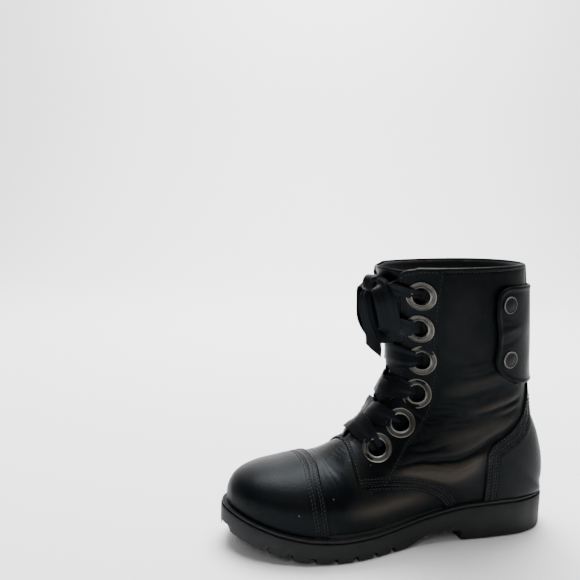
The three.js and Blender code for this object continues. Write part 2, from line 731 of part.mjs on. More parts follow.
// Loops and ends of the bow: offsets from the knot's centre, chosen by hand.
const bowRoutes = {
  lace_loop_lateral: [
    [0, 3, 0], [0.5, 10, 1.5], [0, 17, 0], [-3, 20.5, -10], [-7.5, 19, -23], [-10.5, 16, -34],
    [-10, 10.5, -39], [-7, 7, -31], [-3.5, 6.3, -20], [-1, 5.2, -11], [0, 2, -4],
  ],
  lace_loop_medial: [
    [0, -3, 0], [1, -10, 1], [0.5, -17, -2], [-1, -20.5, -14], [-2.5, -21, -29], [-8, -19, -40],
    [-13.5, -14.5, -46], [-12, -10, -43], [-7, -8, -32], [-3.5, -6.5, -20], [-1.5, -5, -10], [0, -2, -4],
  ],
  lace_end_lateral: [
    [3, 1.8, -5], [4.5, 2.1, -13], [1.5, 2, -24], [-2.5, 2, -36], [-5, 3, -50], [-5.3, 3.4, -56],
  ],
  lace_end_medial: [
    [3.5, -2.3, -5], [5.3, -2.5, -13], [4, -3, -22], [-0.5, -4.5, -34], [-4, -5.5, -44],
    [-5.5, -7, -55],
  ],
};
function ribbonTube(route) {
  const path = new THREE.CatmullRomCurve3(route.map(
    ([x, y, z]) => new THREE.Vector3(x, y, z).add(knotCentre),
  ));
  const radius = 1.5 * ribbonThickness;
  const ring = Array.from({ length: 8 }, (_, i) => {
    const turn = (2 * Math.PI * i) / 8;
    return new THREE.Vector2(radius * Math.cos(turn), radius * Math.sin(turn));
  });
  const tube = new THREE.ExtrudeGeometry(new THREE.Shape(ring), {
    steps: 16, extrudePath: path, bevelEnabled: false,
  });
  return solidOf(tube).subtract(ellipsoid(gap));
}

// Finishes.
const finish = (color, roughness, metalness = 0) => ({ color, roughness, metalness });
const finishes = {
  leather: finish(0x242221, 0.5),
  rubber: finish(0x1f1f20, 0.75),
  lining: finish(0x2a2826, 0.85),
  ribbon: finish(0x1a1a1f, 0.6),
  metal: finish(0x5a5955, 0.35, 1),
};

const boot = new THREE.Group();
function addMesh(name, geometry, look) {
  const mesh = new THREE.Mesh(geometry, new THREE.MeshStandardMaterial(finishes[look]));
  mesh.name = name;
  boot.add(mesh);
}
function addSolid(name, solid, look) {
  const { vertProperties, triVerts } = solid.getMesh();
  const geometry = new THREE.BufferGeometry();
  geometry.setAttribute('position', new THREE.Float32BufferAttribute(vertProperties, 3));
  geometry.setIndex([...triVerts]);
  addMesh(name, geometry, look);
}

addSolid('outsole', outsole, 'rubber');
addSolid('welt', welt, 'rubber');
addSolid('insole', insole, 'lining');
addSolid('upper', upper, 'leather');
addSolid('tongue', tongue, 'leather');
addSolid('toe_cap', toeCap, 'leather');
addSolid('heel_counter', counter, 'leather');
addSolid('eyestay_lateral', stays.intersect(halfSpace('lateral')), 'leather');
addSolid('eyestay_medial', stays.intersect(halfSpace('medial')), 'leather');
addSolid('back_strap', strap, 'leather');
addSolid('lace_crossings', laceCrossings, 'ribbon');
addSolid('lace_knot', ellipsoid(0), 'ribbon');
Object.entries(bowRoutes).forEach(([name, route]) => addSolid(name, ribbonTube(route), 'ribbon'));

// Dished ring with a barrel through the leather.
const eyeletProfile = [
  [eyeletHole, -eyestayOut - leather + gap], [barrel, -eyestayOut - leather + gap],
  [barrel, -eyeletDish], [eyeletRadius, -eyeletDish], [eyeletRadius, 0],
  [(barrel + eyeletRadius) / 2, eyeletCrest], [eyeletHole, 0.3 * eyeletCrest],
  [eyeletHole, -eyestayOut - leather + gap],
];
Object.entries(eyelets).forEach(([side, places]) => places.forEach((place, i) => {
  addSolid(`eyelet_${side}_${i + 1}`, turnedOn(place, eyeletProfile, eyestayOut, holeSides), 'metal');
}));

// Domed cap with a short post through the strap.
const studProfile = [
  [0, -strapThickness], [studPost, -strapThickness], [studPost, gap], [studRadius, gap],
  [studRadius, gap + 0.5 * studDome], [0.7 * studRadius, gap + 0.9 * studDome], [0, gap + studDome],
];
studs.forEach((place, i) => {
  addSolid(`strap_stud_${i + 1}`, turnedOn(place, studProfile, strapOut, 12), 'metal');
});

// Origin on the floor under the middle of the sole's outline.
const reach = { lateral: 0, medial: 0 };
for (let x = 0; x <= soleLength; x += 1) {
  reach.lateral = Math.max(reach.lateral, halfWidth(x, 0, 'lateral'));
  reach.medial = Math.max(reach.medial, halfWidth(x, 0, 'medial'));
}
boot.position.set(-soleLength / 2, (reach.medial - reach.lateral) / 2, 0);

export default boot;
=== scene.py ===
"""Combat boot: leather, rubber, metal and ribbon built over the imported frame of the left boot."""

import math

import bpy
import numpy as np
from mathutils import Matrix, Vector


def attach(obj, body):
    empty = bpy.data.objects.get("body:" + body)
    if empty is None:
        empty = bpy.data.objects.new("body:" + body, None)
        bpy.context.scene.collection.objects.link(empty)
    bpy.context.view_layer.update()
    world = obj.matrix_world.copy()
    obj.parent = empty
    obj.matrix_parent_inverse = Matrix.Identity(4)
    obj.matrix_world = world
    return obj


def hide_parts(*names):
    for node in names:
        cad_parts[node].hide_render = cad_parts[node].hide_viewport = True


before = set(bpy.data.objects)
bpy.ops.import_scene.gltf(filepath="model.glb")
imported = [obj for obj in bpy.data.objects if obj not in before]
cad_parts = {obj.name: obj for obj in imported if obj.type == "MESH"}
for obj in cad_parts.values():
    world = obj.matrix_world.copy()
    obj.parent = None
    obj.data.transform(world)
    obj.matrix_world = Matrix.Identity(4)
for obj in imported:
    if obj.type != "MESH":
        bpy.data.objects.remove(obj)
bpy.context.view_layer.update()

bl_info = {
    "name": "Combat Boot",
    "version": (1, 0, 0),
    "blender": (4, 5, 0),
    "location": "3D View > Sidebar > Boot",
    "description": "Builds a laced leather combat boot over its frame",
    "category": "Object",
}

MM = 0.001

# Sizes of the frame, in millimetres, as the sole and the upper were laid out.
SOLE_LENGTH = 288.0
BALL_WIDTH = 107.0
HEEL_HEIGHT = 29.0
FORE_HEIGHT = 15.5
TOE_SPRING = 17.0
ARCH_HEIGHT = 8.0
TREAD_DEPTH = 4.0
LUG_PITCH = 17.0
LUG_GROOVE = 4.5
WELT_THICKNESS = 3.8
WELT_SHELF = 6.0
INSTEP_HEIGHT = 63.0
SHAFT_HEIGHT = 204.0
LEATHER = 2.0
TOE_BULGE = 1.2
QUARTER_OUT = 1.0
CAP_OUT = 1.6
COUNTER_OUT = 2.5
STAY_OUT = 2.2
STRAP_OUT = 4.6
TONGUE_OUT = -2.3
THROAT_LOW = 8.5
THROAT_HIGH = 27.0
THROAT_FLOOR = 81.0
COLLAR_CORNER = 9.5
EYELET_COUNT = 6
EYELET_PITCH = 27.8
EYELET_DROP = 22.0
EYELET_SETBACK = 19.5
EYELET_RADIUS = 11.9
EYELET_HOLE = 6.9
LEATHER_HOLE = 8.9
STAY_BAND = 35.4
HEEL_BREAST = 0.322 * SOLE_LENGTH
TREAD_START = 0.49 * SOLE_LENGTH
STUD_SPOTS = ((0.247, 0.975), (0.229, 0.757))
# Where the quarter's front edge turns into its lower edge, in shares as the edges below.
QUARTER_CORNER = (0.635, 0.268)
# Height up to which the counter is stitched along its edge.
COUNTER_ROWS_TOP = 120.0

# Share of the sole's length, then half widths as shares of the ball width.
OUTLINE = np.array([
    (0, 0, 0), (0.012, 0.13, 0.13), (0.03, 0.2, 0.2), (0.08, 0.29, 0.29), (0.15, 0.335, 0.33),
    (0.25, 0.338, 0.315), (0.35, 0.325, 0.28), (0.45, 0.34, 0.29), (0.55, 0.4, 0.37),
    (0.63, 0.45, 0.46), (0.7, 0.468, 0.51), (0.78, 0.45, 0.52), (0.86, 0.385, 0.47),
    (0.93, 0.28, 0.36), (0.97, 0.175, 0.25), (0.99, 0.08, 0.15), (1, -0.03, 0.03),
])
# Share of the length, then the shares of the heel's lift, of the arch and of the toe spring.
PROFILE = np.array([
    (0, 1, 1, 0), (0.15, 1, 1, 0), (0.28, 0.93, 1, 0), (0.4, 0.6, 1, 0), (0.5, 0.25, 0.6, 0),
    (0.6, 0.05, 0, 0), (0.7, 0, 0, 0), (0.78, 0, 0, 0.08), (0.86, 0, 0, 0.28),
    (0.93, 0, 0, 0.6), (1, 0, 0, 1),
])
# Sections of the upper: ridge, ridge rise, base, base rise, foot, lateral, medial, widest, crown, heel.
SECTIONS = np.array([
    (1, 0.04, 1, 0.04, 1, 0, 0, 0.35, 2.2, 2),
    (0.995, 0.18, 0.993, 0, 1, 0, 0, 0.35, 2.2, 2),
    (0.98, 0.31, 0.976, 0, 1, 0, 0, 0.35, 2.2, 2),
    (0.951, 0.43, 0.94, 0, 1, 0, 0, 0.35, 2.2, 2),
    (0.9, 0.56, 0.885, 0, 1, 0, 0, 0.34, 2.2, 2),
    (0.82, 0.68, 0.798, 0, 1, 0, 0, 0.32, 2.1, 2),
    (0.733, 0.8, 0.696, 0, 1, 0, 0, 0.32, 2, 2),
    (0.667, 0.96, 0.587, 0, 1, 0.36, 0.36, 0.35, 1.9, 2),
    (0.609, 1.067, 0.471, 0, 1, 0.35, 0.35, 0.4, 1.8, 2),
    (0.569, 1.163, 0.34, 0, 1, 0.338, 0.338, 0.42, 1.8, 2),
    (0.547, 1.26, 0.202, 0, 1, 0.334, 0.334, 0.42, 1.8, 2.1),
    (0.529, 1.36, 0.085, 0, 1, 0.336, 0.336, 0.42, 1.85, 2.2),
    (0.522, 1.44, 0.024, 0, 1, 0.34, 0.34, 0.42, 1.95, 2.4),
    (0.518, 1.5, 0.002, 0.13, 0, 0.344, 0.344, 0.42, 2, 2.6),
    (0.518, 1.58, 0.009, 0.38, 0, 0.35, 0.35, 0.42, 2, 2.7),
    (0.525, 1.67, 0.033, 0.73, 0, 0.36, 0.36, 0.43, 2, 2.7),
    (0.54, 1.766, 0.07, 1.075, 0, 0.375, 0.375, 0.45, 2, 2.6),
    (0.555, 1.86, 0.089, 1.29, 0, 0.39, 0.39, 0.47, 2.05, 2.5),
    (0.573, 1.94, 0.099, 1.578, 0, 0.405, 0.405, 0.48, 2.1, 2.4),
    (0.587, 2.01, 0.116, 1.957, 0, 0.415, 0.415, 0.48, 2.1, 2.3),
])
LAST = len(SECTIONS) - 1.0
# Edges of the panels as seen from the side, in shares of the sole's length and the shaft's height.
QUARTER_EDGE = [
    (0.655, 0.48), (0.657, 0.4), (0.66, 0.334), (0.658, 0.29), (0.65, 0.264), (0.64, 0.254), (0.615, 0.25),
    (0.58, 0.247), (0.54, 0.2445), (0.495, 0.237), (0.459, 0.224), (0.425, 0.203), (0.399, 0.178),
    (0.378, 0.146), (0.366, 0.11), (0.36, 0.03),
]
CAP_EDGE = [
    (0.73, 0.02), (0.7365, 0.104), (0.7395, 0.13), (0.7476, 0.183), (0.751, 0.228), (0.753, 0.268),
    (0.751, 0.301), (0.745, 0.329), (0.735, 0.42),
]
COUNTER_EDGE = [
    (0.264, 0.02), (0.26, 0.15), (0.26, 0.24), (0.262, 0.31), (0.2625, 0.355), (0.256, 0.385),
    (0.241, 0.409), (0.219, 0.431), (0.19, 0.463), (0.168, 0.505), (0.153, 0.545), (0.142, 0.59),
    (0.134, 0.65), (0.132, 0.75), (0.145, 1.3),
]
STRAP_EDGE = [
    (0.645, 0.1), (0.655, 0.19), (0.672, 0.225), (0.7, 0.256), (0.745, 0.272), (0.82, 0.271),
    (0.87, 0.274), (0.94, 0.285), (1.0, 0.286), (1.028, 0.277), (1.04, 0.262), (1.047, 0.1),
]
THROAT = np.array([
    (0, 0), (0.14, 0.03), (0.28, 0.12), (0.5, 0.17), (0.65, 0.26), (0.75, 0.46), (0.86, 0.72), (1, 1),
])


class Curve:
    """Smooth curve through rows of a table, without overshoot between them."""

    def __init__(self, xs, ys):
        self.xs = np.asarray(xs, float)
        self.ys = np.asarray(ys, float)
        rise = np.diff(self.ys) / np.diff(self.xs)
        slope = np.zeros(len(self.xs))
        slope[0] = rise[0]
        slope[-1] = rise[-1]
        both = rise[:-1] * rise[1:]
        total = rise[:-1] + rise[1:]
        safe = np.where(total == 0, 1, total)
        slope[1:-1] = np.where(both > 0, 2 * both / safe, 0)
        self.slope = slope

    def __call__(self, at):
        at = np.clip(np.asarray(at, float), self.xs[0], self.xs[-1])
        i = np.clip(np.searchsorted(self.xs, at, side="right") - 1, 0, len(self.xs) - 2)
        span = self.xs[i + 1] - self.xs[i]
        t = (at - self.xs[i]) / span
        t2 = t * t
        t3 = t2 * t
        return ((2 * t3 - 3 * t2 + 1) * self.ys[i] + (t3 - 2 * t2 + t) * span * self.slope[i]
                + (3 * t2 - 2 * t3) * self.ys[i + 1] + (t3 - t2) * span * self.slope[i + 1])


def turn_of(share):
    return np.arccos(1 - 2 * np.clip(share, 0, 1))


half_lateral = Curve(turn_of(OUTLINE[:, 0]), OUTLINE[:, 1])
half_medial = Curve(turn_of(OUTLINE[:, 0]), OUTLINE[:, 2])
lift_share = Curve(PROFILE[:, 0], PROFILE[:, 1])
arch_share = Curve(PROFILE[:, 0], PROFILE[:, 2])
spring_share = Curve(PROFILE[:, 0], PROFILE[:, 3])
section_curves = [Curve(np.arange(len(SECTIONS)), SECTIONS[:, k]) for k in range(10)]
throat_flare = Curve(THROAT[:, 0], THROAT[:, 1])


def half_width(x, inset, sign):
    share = (x - inset) / (SOLE_LENGTH - 2 * inset)
    half = np.where(np.asarray(sign) > 0, half_lateral(turn_of(share)), half_medial(turn_of(share)))
    return half * (BALL_WIDTH - 2 * inset)


def spring(x):
    return TOE_SPRING * spring_share(x / SOLE_LENGTH)


def sole_top(x):
    return FORE_HEIGHT + (HEEL_HEIGHT - FORE_HEIGHT) * lift_share(x / SOLE_LENGTH) + spring(x)


def seat(x):
    return sole_top(x) + WELT_THICKNESS


def sole_under(x):
    return TREAD_DEPTH + (ARCH_HEIGHT - TREAD_DEPTH) * arch_share(x / SOLE_LENGTH) + spring(x)


def along_x(share):
    return WELT_SHELF + share * (SOLE_LENGTH - 2 * WELT_SHELF)


def rise_z(share):
    return np.where(share <= 1, share * INSTEP_HEIGHT,
                    INSTEP_HEIGHT + (share - 1) * (SHAFT_HEIGHT - INSTEP_HEIGHT))


xs_probe = np.linspace(0, SOLE_LENGTH, 289)
SHIFT = np.array([
    -SOLE_LENGTH / 2,
    (half_width(xs_probe, 0, -1).max() - half_width(xs_probe, 0, 1).max()) / 2,
    0.0,
])


def section(order, sign, phase):
    """Corner of the upper's fan of sections: phase 0 on the ridge, 1 at the widest, 2 on the base."""
    order, sign, phase = np.broadcast_arrays(
        np.asarray(order, float), np.asarray(sign, float), np.asarray(phase, float))
    v = [curve(order) for curve in section_curves]
    ridge_x = along_x(v[0])
    base_x = along_x(v[2])
    ridge_z = seat(ridge_x) + rise_z(v[1])
    base_z = seat(base_x) + rise_z(v[3])
    base_l = v[4] * half_width(base_x, WELT_SHELF, 1)
    base_m = v[4] * half_width(base_x, WELT_SHELF, -1)
    bulge = TOE_BULGE * np.minimum(1, np.minimum((LAST - order) / 4, order))
    wide_l = np.maximum(v[5] * BALL_WIDTH, base_l + bulge)
    wide_m = np.maximum(v[6] * BALL_WIDTH, base_m + bulge)
    centre = (wide_l - wide_m) / 2
    half = (wide_l + wide_m) / 2
    level = v[7]
    upper = phase <= 1
    turn = np.where(upper, (1 - phase), (2 - phase)) * math.pi / 2
    sine = np.clip(np.sin(turn), 0, 1)
    cosine = np.clip(np.cos(turn), 0, 1)
    crown = 2 / v[8]
    heel = 2 / v[9]
    base = np.where(sign > 0, base_l, base_m)
    wide = np.where(sign > 0, wide_l, wide_m)
    y = np.where(upper, centre + sign * half * cosine ** crown, sign * (base + (wide - base) * sine ** heel))
    height = np.where(upper, level + (1 - level) * sine ** crown, level * (1 - cosine ** heel))
    y = np.where(order <= 0, centre, y)
    x = base_x + (ridge_x - base_x) * height
    z = base_z + (ridge_z - base_z) * height
    return np.stack([x, y, z], -1)


def unit(vectors):
    length = np.linalg.norm(vectors, axis=-1, keepdims=True)
    return vectors / np.maximum(length, 1e-9)


def section_normal(order, sign, phase):
    """Outward direction of the upper's surface."""
    order, sign, phase = np.broadcast_arrays(
        np.asarray(order, float), np.asarray(sign, float), np.asarray(phase, float))
    step = 0.02
    along = section(np.minimum(order + step, LAST), sign, phase) - section(
        np.maximum(order - step, 0), sign, phase)
    down = section(order, sign, np.minimum(phase + step, 2))
    over = phase < step
    up = section(order, np.where(over, -sign, sign), np.where(over, step, phase - step))
    normal = unit(np.cross(along, down - up)) * np.where(sign > 0, -1, 1)[..., None]
    back = (phase > 1.985) & (order >= 13)
    normal[..., 1] = np.where(back, 0, normal[..., 1])
    normal = unit(normal)
    tip = order <= 0.03
    return np.where(tip[..., None], np.array([1.0, 0, 0]), normal)


# Arc length down from the ridge, for each order and phase of either side.
TABLE_ORDERS = np.linspace(0, LAST, 381)
TABLE_PHASES = np.linspace(0, 2, 201)
arc_tables = {}
for table_sign in (1, -1):
    grid = section(TABLE_ORDERS[:, None], table_sign, TABLE_PHASES[None, :])
    steps = np.linalg.norm(np.diff(grid, axis=1), axis=-1)
    arc_tables[table_sign] = np.concatenate([np.zeros((len(TABLE_ORDERS), 1)), np.cumsum(steps, 1)], 1)


def phase_at(order, sign, arc):
    """Phase that lies an arc length down from the ridge."""
    order, arc = np.broadcast_arrays(np.asarray(order, float), np.asarray(arc, float))
    place = np.clip(order / LAST * (len(TABLE_ORDERS) - 1), 0, len(TABLE_ORDERS) - 1.000001)
    low = place.astype(int)
    part = (place - low)[..., None]
    rows = arc_tables[sign][low] * (1 - part) + arc_tables[sign][low + 1] * part
    flat = rows.reshape(-1, rows.shape[-1])
    wanted = np.clip(arc.reshape(-1), 0, flat[:, -1] - 1e-6)
    j = np.clip((flat < wanted[:, None]).sum(1) - 1, 0, rows.shape[-1] - 2)
    pick = np.arange(len(flat))
    a = flat[pick, j]
    b = flat[pick, j + 1]
    t = (wanted - a) / np.maximum(b - a, 1e-9)
    return ((j + t) * (TABLE_PHASES[1])).reshape(order.shape)


def arc_at(order, sign, phase):
    order, phase = np.broadcast_arrays(np.asarray(order, float), np.asarray(phase, float))
    o = np.clip(order / LAST * (len(TABLE_ORDERS) - 1), 0, len(TABLE_ORDERS) - 1.000001)
    p = np.clip(phase / TABLE_PHASES[1], 0, len(TABLE_PHASES) - 1.000001)
    i = o.astype(int)
    j = p.astype(int)
    s = o - i
    t = p - j
    rows = arc_tables[sign]
    return ((rows[i, j] * (1 - t) + rows[i, j + 1] * t) * (1 - s)
            + (rows[i + 1, j] * (1 - t) + rows[i + 1, j + 1] * t) * s)


def walked(points):
    """Length walked along a course up to each of its points."""
    return np.concatenate([[0], np.cumsum(np.linalg.norm(np.diff(points, axis=0), axis=-1))])


def rounded(points, steps=8):
    """Soft course through a few points."""
    p = np.asarray(points, float)
    p = np.vstack([2 * p[0] - p[1], p, 2 * p[-1] - p[-2]])
    out = []
    for i in range(1, len(p) - 2):
        for t in np.arange(steps) / steps:
            a, b, c, d = p[i - 1], p[i], p[i + 1], p[i + 2]
            out.append(0.5 * (2 * b + (c - a) * t + (2 * a - 5 * b + 4 * c - d) * t * t
                              + (3 * b - a - 3 * c + d) * t ** 3))
    out.append(p[-2])
    return np.array(out)


def region(points, steps=8):
    return rounded(points, steps) * np.array([SOLE_LENGTH, SHAFT_HEIGHT])


def inside(polygon, x, z):
    """Even-odd test of points against a closed outline."""
    x, z = np.broadcast_arrays(x, z)
    found = np.zeros(x.shape, bool)
    ax, az = polygon[-1]
    for bx, bz in polygon:
        crosses = (bz > z) != (az > z)
        at = (ax - bx) * (z - bz) / np.where(az == bz, 1e-9, az - bz) + bx
        found ^= crosses & (x < at)
        ax, az = bx, bz
    return found


def solve(test, low, high, rounds=26):
    """Where test turns from false at low to true at high, for whole arrays at once."""
    low = np.array(low, float)
    high = np.array(high, float)
    for _ in range(rounds):
        middle = (low + high) / 2
        yes = test(middle)
        high = np.where(yes, middle, high)
        low = np.where(yes, low, middle)
    return (low + high) / 2


quarter_line = region(QUARTER_EDGE)
quarter_region = np.vstack([[(-60, 5), (-60, 300), (quarter_line[0][0], 300)], quarter_line])
cap_line = region(CAP_EDGE)
cap_region = np.vstack([
    cap_line, [(330, cap_line[-1][1]), (330, cap_line[0][1] - 30), cap_line[0] - (0, 30)],
])
counter_line = region(COUNTER_EDGE)
counter_region = np.vstack([counter_line, [(-60, 300), (-60, -30), counter_line[0] - (0, 34)]])

THROAT_TOP = float(seat(0.0)) + SHAFT_HEIGHT


def throat_half(z):
    flare = throat_flare(np.clip((z - THROAT_FLOOR) / (THROAT_TOP - THROAT_FLOOR), 0, 1))
    half = THROAT_LOW + (THROAT_HIGH - THROAT_LOW) * flare
    bowl = 0.6 * THROAT_LOW
    rise = np.clip((z - THROAT_FLOOR) / bowl, 0, 1)
    return np.where(z < THROAT_FLOOR, 0, half * np.sqrt(np.clip(1 - (1 - rise) ** 2, 0, 1)))


def facing_phase(order, sign):
    def outside(phase):
        p = section(order, sign, phase)
        return np.abs(p[..., 1]) >= throat_half(p[..., 2])
    order = np.asarray(order, float)
    return solve(outside, np.zeros(order.shape), np.ones(order.shape), 22)


facing_curves = {s: facing_phase(TABLE_ORDERS, s) for s in (1, -1)}


def facing(order, sign):
    return np.interp(order, TABLE_ORDERS, facing_curves[sign])


def phase_curve(edge, sign, low, high, count=401):
    """For phases 0 to 2, the order at which the surface enters a region, as a function of phase."""
    phases = np.linspace(0, 2, count)

    def test(order):
        p = section(order, sign, phases)
        return edge(p[..., 0], p[..., 2])
    found = solve(test, np.full(count, low), np.full(count, high))
    return lambda phase: np.interp(phase, phases, found)


collar_x = 0.545 * SOLE_LENGTH
collar_z = float(seat(collar_x)) + SHAFT_HEIGHT
collar_drop = Curve(
    np.array([-1.6, -1.0, -0.4, -0.1, 0.1, 0.25]) * COLLAR_CORNER + collar_x,
    np.array([0.9, 0.06, -0.1, -0.4, -1.1, -2.2]) * COLLAR_CORNER + collar_z,
)


def trace(line, sign):
    """Order and phase of the places on one flank that lie on a course of x and z."""
    orders = np.linspace(5.5, 14, 341)[:, None]
    phases = np.linspace(0.02, 2, 397)[None, :]
    p = section(orders, sign, phases)
    found = []
    for x, z in line:
        i, j = np.unravel_index(int(np.hypot(p[..., 0] - x, p[..., 2] - z).argmin()), p.shape[:2])
        order, phase = orders[i, 0], phases[0, j]
        for _ in range(4):
            here = section(order, sign, phase)[[0, 2]]
            slope = np.stack([section(order + 0.01, sign, phase)[[0, 2]] - here,
                              section(order, sign, phase + 0.004)[[0, 2]] - here], -1)
            if abs(np.linalg.det(slope)) < 1e-7:
                break
            step = np.linalg.solve(slope, np.array([x, z]) - here)
            order += 0.01 * float(np.clip(step[0], -12, 12))
            phase = float(np.clip(phase + 0.004 * float(np.clip(step[1], -5, 5)), 0, 2))
        found.append((order, phase))
    return np.array(found)


def even_course(points, spacing=1.5):
    length = walked(points)
    at = np.arange(0, length[-1], spacing)
    return np.stack([np.interp(at, length, points[:, k]) for k in range(points.shape[1])], -1)


quarter_front = {
    s: phase_curve(lambda x, z: inside(quarter_region, x, z), s, 5.6, 10.6) for s in (1, -1)
}
cap_rear = {
    s: phase_curve(lambda x, z: ~inside(cap_region, x, z), s, 3.0, 7.4) for s in (1, -1)
}
collar_end = {
    s: phase_curve(lambda x, z: (z > collar_drop(x)) & (x > collar_x - 1.6 * COLLAR_CORNER), s, 15.5, LAST)
    for s in (1, -1)
}


def counter_phase(order, sign):
    order = np.asarray(order, float)

    def test(phase):
        p = section(order, sign, phase)
        return inside(counter_region, p[..., 0], p[..., 2])
    return solve(test, np.full(order.shape, 0.6), np.full(order.shape, 2.0))


def spaced(count, sharp=0.0, ends=(True, True)):
    """Shares 0 to 1 in equal steps, drawn closer towards the chosen ends."""
    t = np.linspace(0, 1, count + 1)
    if sharp <= 0:
        return t
    weight = np.ones(count)
    middle = (np.arange(count) + 0.5) / count
    if ends[0]:
        weight -= sharp * np.exp(-middle / 0.05)
    if ends[1]:
        weight -= sharp * np.exp(-(1 - middle) / 0.05)
    weight = np.clip(weight, 0.12, None)
    return np.concatenate([[0], np.cumsum(weight)]) / weight.sum()


class Panel:
    """A piece of leather laid on the upper: its grid of places, outward directions and edge distances."""

    def __init__(self, order, signed_phase, offset):
        sign = np.where(signed_phase >= 0, 1.0, -1.0)
        phase = np.abs(signed_phase)
        self.order = order
        self.signed_phase = signed_phase
        self.sign = sign
        place = section(order, sign, phase)
        self.base = place
        self.normal = section_normal(order, sign, phase)
        self.offset = offset
        self.place = place + self.normal * offset
        self.fields = {}
        self.beyond = None
        self.border = None

    def edge(self, which):
        """One edge of the piece, as a course of places."""
        return {"start": self.place[0] if self.border is None else self.border, "end": self.place[-1],
                "left": self.place[:, 0], "right": self.place[:, -1]}[which]

    def distance(self, name, border=None):
        """Distance of every place from an edge, or from a course given with a name of its own."""
        if name not in self.fields:
            if border is None:
                border = self.edge(name)
            border = np.concatenate([border, (border[1:] + border[:-1]) / 2])
            best = np.full(self.place.shape[:2], 1e9)
            for point in border:
                best = np.minimum(best, ((self.place - point) ** 2).sum(-1))
            self.fields[name] = np.sqrt(best)
        return self.fields[name]

    def lift(self, amount):
        self.place = self.place + self.normal * amount[..., None]

    def sample(self, field, at):
        i = np.clip(at[:, 0].astype(int), 0, field.shape[0] - 2)
        j = np.clip(at[:, 1].astype(int), 0, field.shape[1] - 2)
        s = at[:, 0] - i
        t = at[:, 1] - j
        if field.ndim == 3:
            s = s[:, None]
            t = t[:, None]
        return ((field[i, j] * (1 - t) + field[i, j + 1] * t) * (1 - s)
                + (field[i + 1, j] * (1 - t) + field[i + 1, j + 1] * t) * s)

    def seam(self, name, distances, keep=None):
        """Rows of stitches at distances from an edge, where the kept field is over its least value."""
        for distance in distances:
            for at in contours(self.fields[name], distance):
                parts = [at]
                if keep is not None:
                    field, least = keep
                    good = self.sample(field, at) > least
                    cuts = np.flatnonzero(np.diff(good.astype(int))) + 1
                    kept = [good[c] for c in [0, *cuts]]
                    parts = [part for part, ok in zip(np.split(at, cuts), kept) if ok]
                for part in parts:
                    if len(part) > 3:
                        out = unit(self.sample(self.normal, part))
                        stitch_rows.append((self.sample(self.place, part), out))

    def groove(self, name, distances, depth=0.5, half=0.75):
        """Shallow furrows under the rows of stitches."""
        field = self.fields[name]
        total = np.zeros(field.shape)
        for distance in distances:
            total -= depth * np.exp(-((field - distance) / half) ** 2)
        return total


def contours(field, level):
    """Courses through a grid, in its own steps, along which the field has one value."""
    above = field >= level
    spots = {}
    links = {}

    def crossing(i, j, di, dj):
        key = (i, j, di, dj)
        t = (level - field[i, j]) / (field[i + di, j + dj] - field[i, j])
        spots[key] = (i + di * t, j + dj * t)
        return key
    mixed = ((above[:-1, :-1] != above[1:, :-1]) | (above[:-1, :-1] != above[:-1, 1:])
             | (above[:-1, :-1] != above[1:, 1:]))
    for i, j in np.argwhere(mixed):
        ends = [crossing(a, b, da, db)
                for a, b, da, db in ((i, j, 1, 0), (i, j, 0, 1), (i + 1, j, 0, 1), (i, j + 1, 1, 0))
                if above[a, b] != above[a + da, b + db]]
        for a, b in zip(ends[0::2], ends[1::2]):
            links.setdefault(a, []).append(b)
            links.setdefault(b, []).append(a)
    found = []
    left = set(links)
    for key in sorted(links, key=lambda k: len(links[k])):
        if key not in left:
            continue
        course = [key]
        left.discard(key)
        while True:
            ahead = [k for k in links[course[-1]] if k in left]
            if not ahead:
                break
            course.append(ahead[0])
            left.discard(ahead[0])
        if len(course) > 6:
            found.append(np.array([spots[k] for k in course], float))
    return found


def in_frame(points):
    return (np.asarray(points) + SHIFT) * MM


def deselect():
    bpy.ops.object.select_all(action="DESELECT")


def pick(piece):
    """Selects one piece alone and makes it the active one."""
    deselect()
    piece.select_set(True)
    bpy.context.view_layer.objects.active = piece


def corner_places(piece):
    flat = np.empty(len(piece.data.vertices) * 3)
    piece.data.vertices.foreach_get("co", flat)
    return flat.reshape(-1, 3)


def stand_for(piece, nodes):
    """Puts a finished piece on the body, in place of its nodes, which it hides."""
    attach(piece, "root")
    if nodes:
        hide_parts(*nodes)


grid_index = {}


def grid_mesh(name, places):
    """A grid primitive whose corners are moved to their places, with its own even map."""
    u_cells = places.shape[0] - 1
    v_cells = places.shape[1] - 1
    deselect()
    bpy.ops.mesh.primitive_grid_add(x_subdivisions=u_cells, y_subdivisions=v_cells, size=2)
    piece = bpy.context.object
    piece.name = name
    piece.data.name = name
    flat = corner_places(piece)
    u = np.rint((flat[:, 0] + 1) / 2 * u_cells).astype(int)
    v = np.rint((flat[:, 1] + 1) / 2 * v_cells).astype(int)
    grid_index[name] = (u, v)
    piece.data.vertices.foreach_set("co", places[u, v].reshape(-1))
    piece.data.update()
    return piece


def piece_index(piece):
    return grid_index[piece.data.name]


def apply_modifier(piece, kind, **settings):
    pick(piece)
    modifier = piece.modifiers.new(kind.lower(), kind)
    for key, value in settings.items():
        setattr(modifier, key, value)
    bpy.ops.object.modifier_apply(modifier=modifier.name)


def edit_all(piece, *calls):
    """Runs edit-mode operators on the whole of a piece."""
    pick(piece)
    bpy.ops.object.mode_set(mode="EDIT")
    bpy.ops.mesh.select_all(action="SELECT")
    for call in calls:
        call()
    bpy.ops.object.mode_set(mode="OBJECT")


def smooth_shade(piece, degrees=45):
    pick(piece)
    bpy.ops.object.shade_smooth_by_angle(angle=math.radians(degrees))


def turn_over(piece):
    """Turns all the faces of a piece to their other side."""
    edit_all(piece, lambda: bpy.ops.mesh.flip_normals())


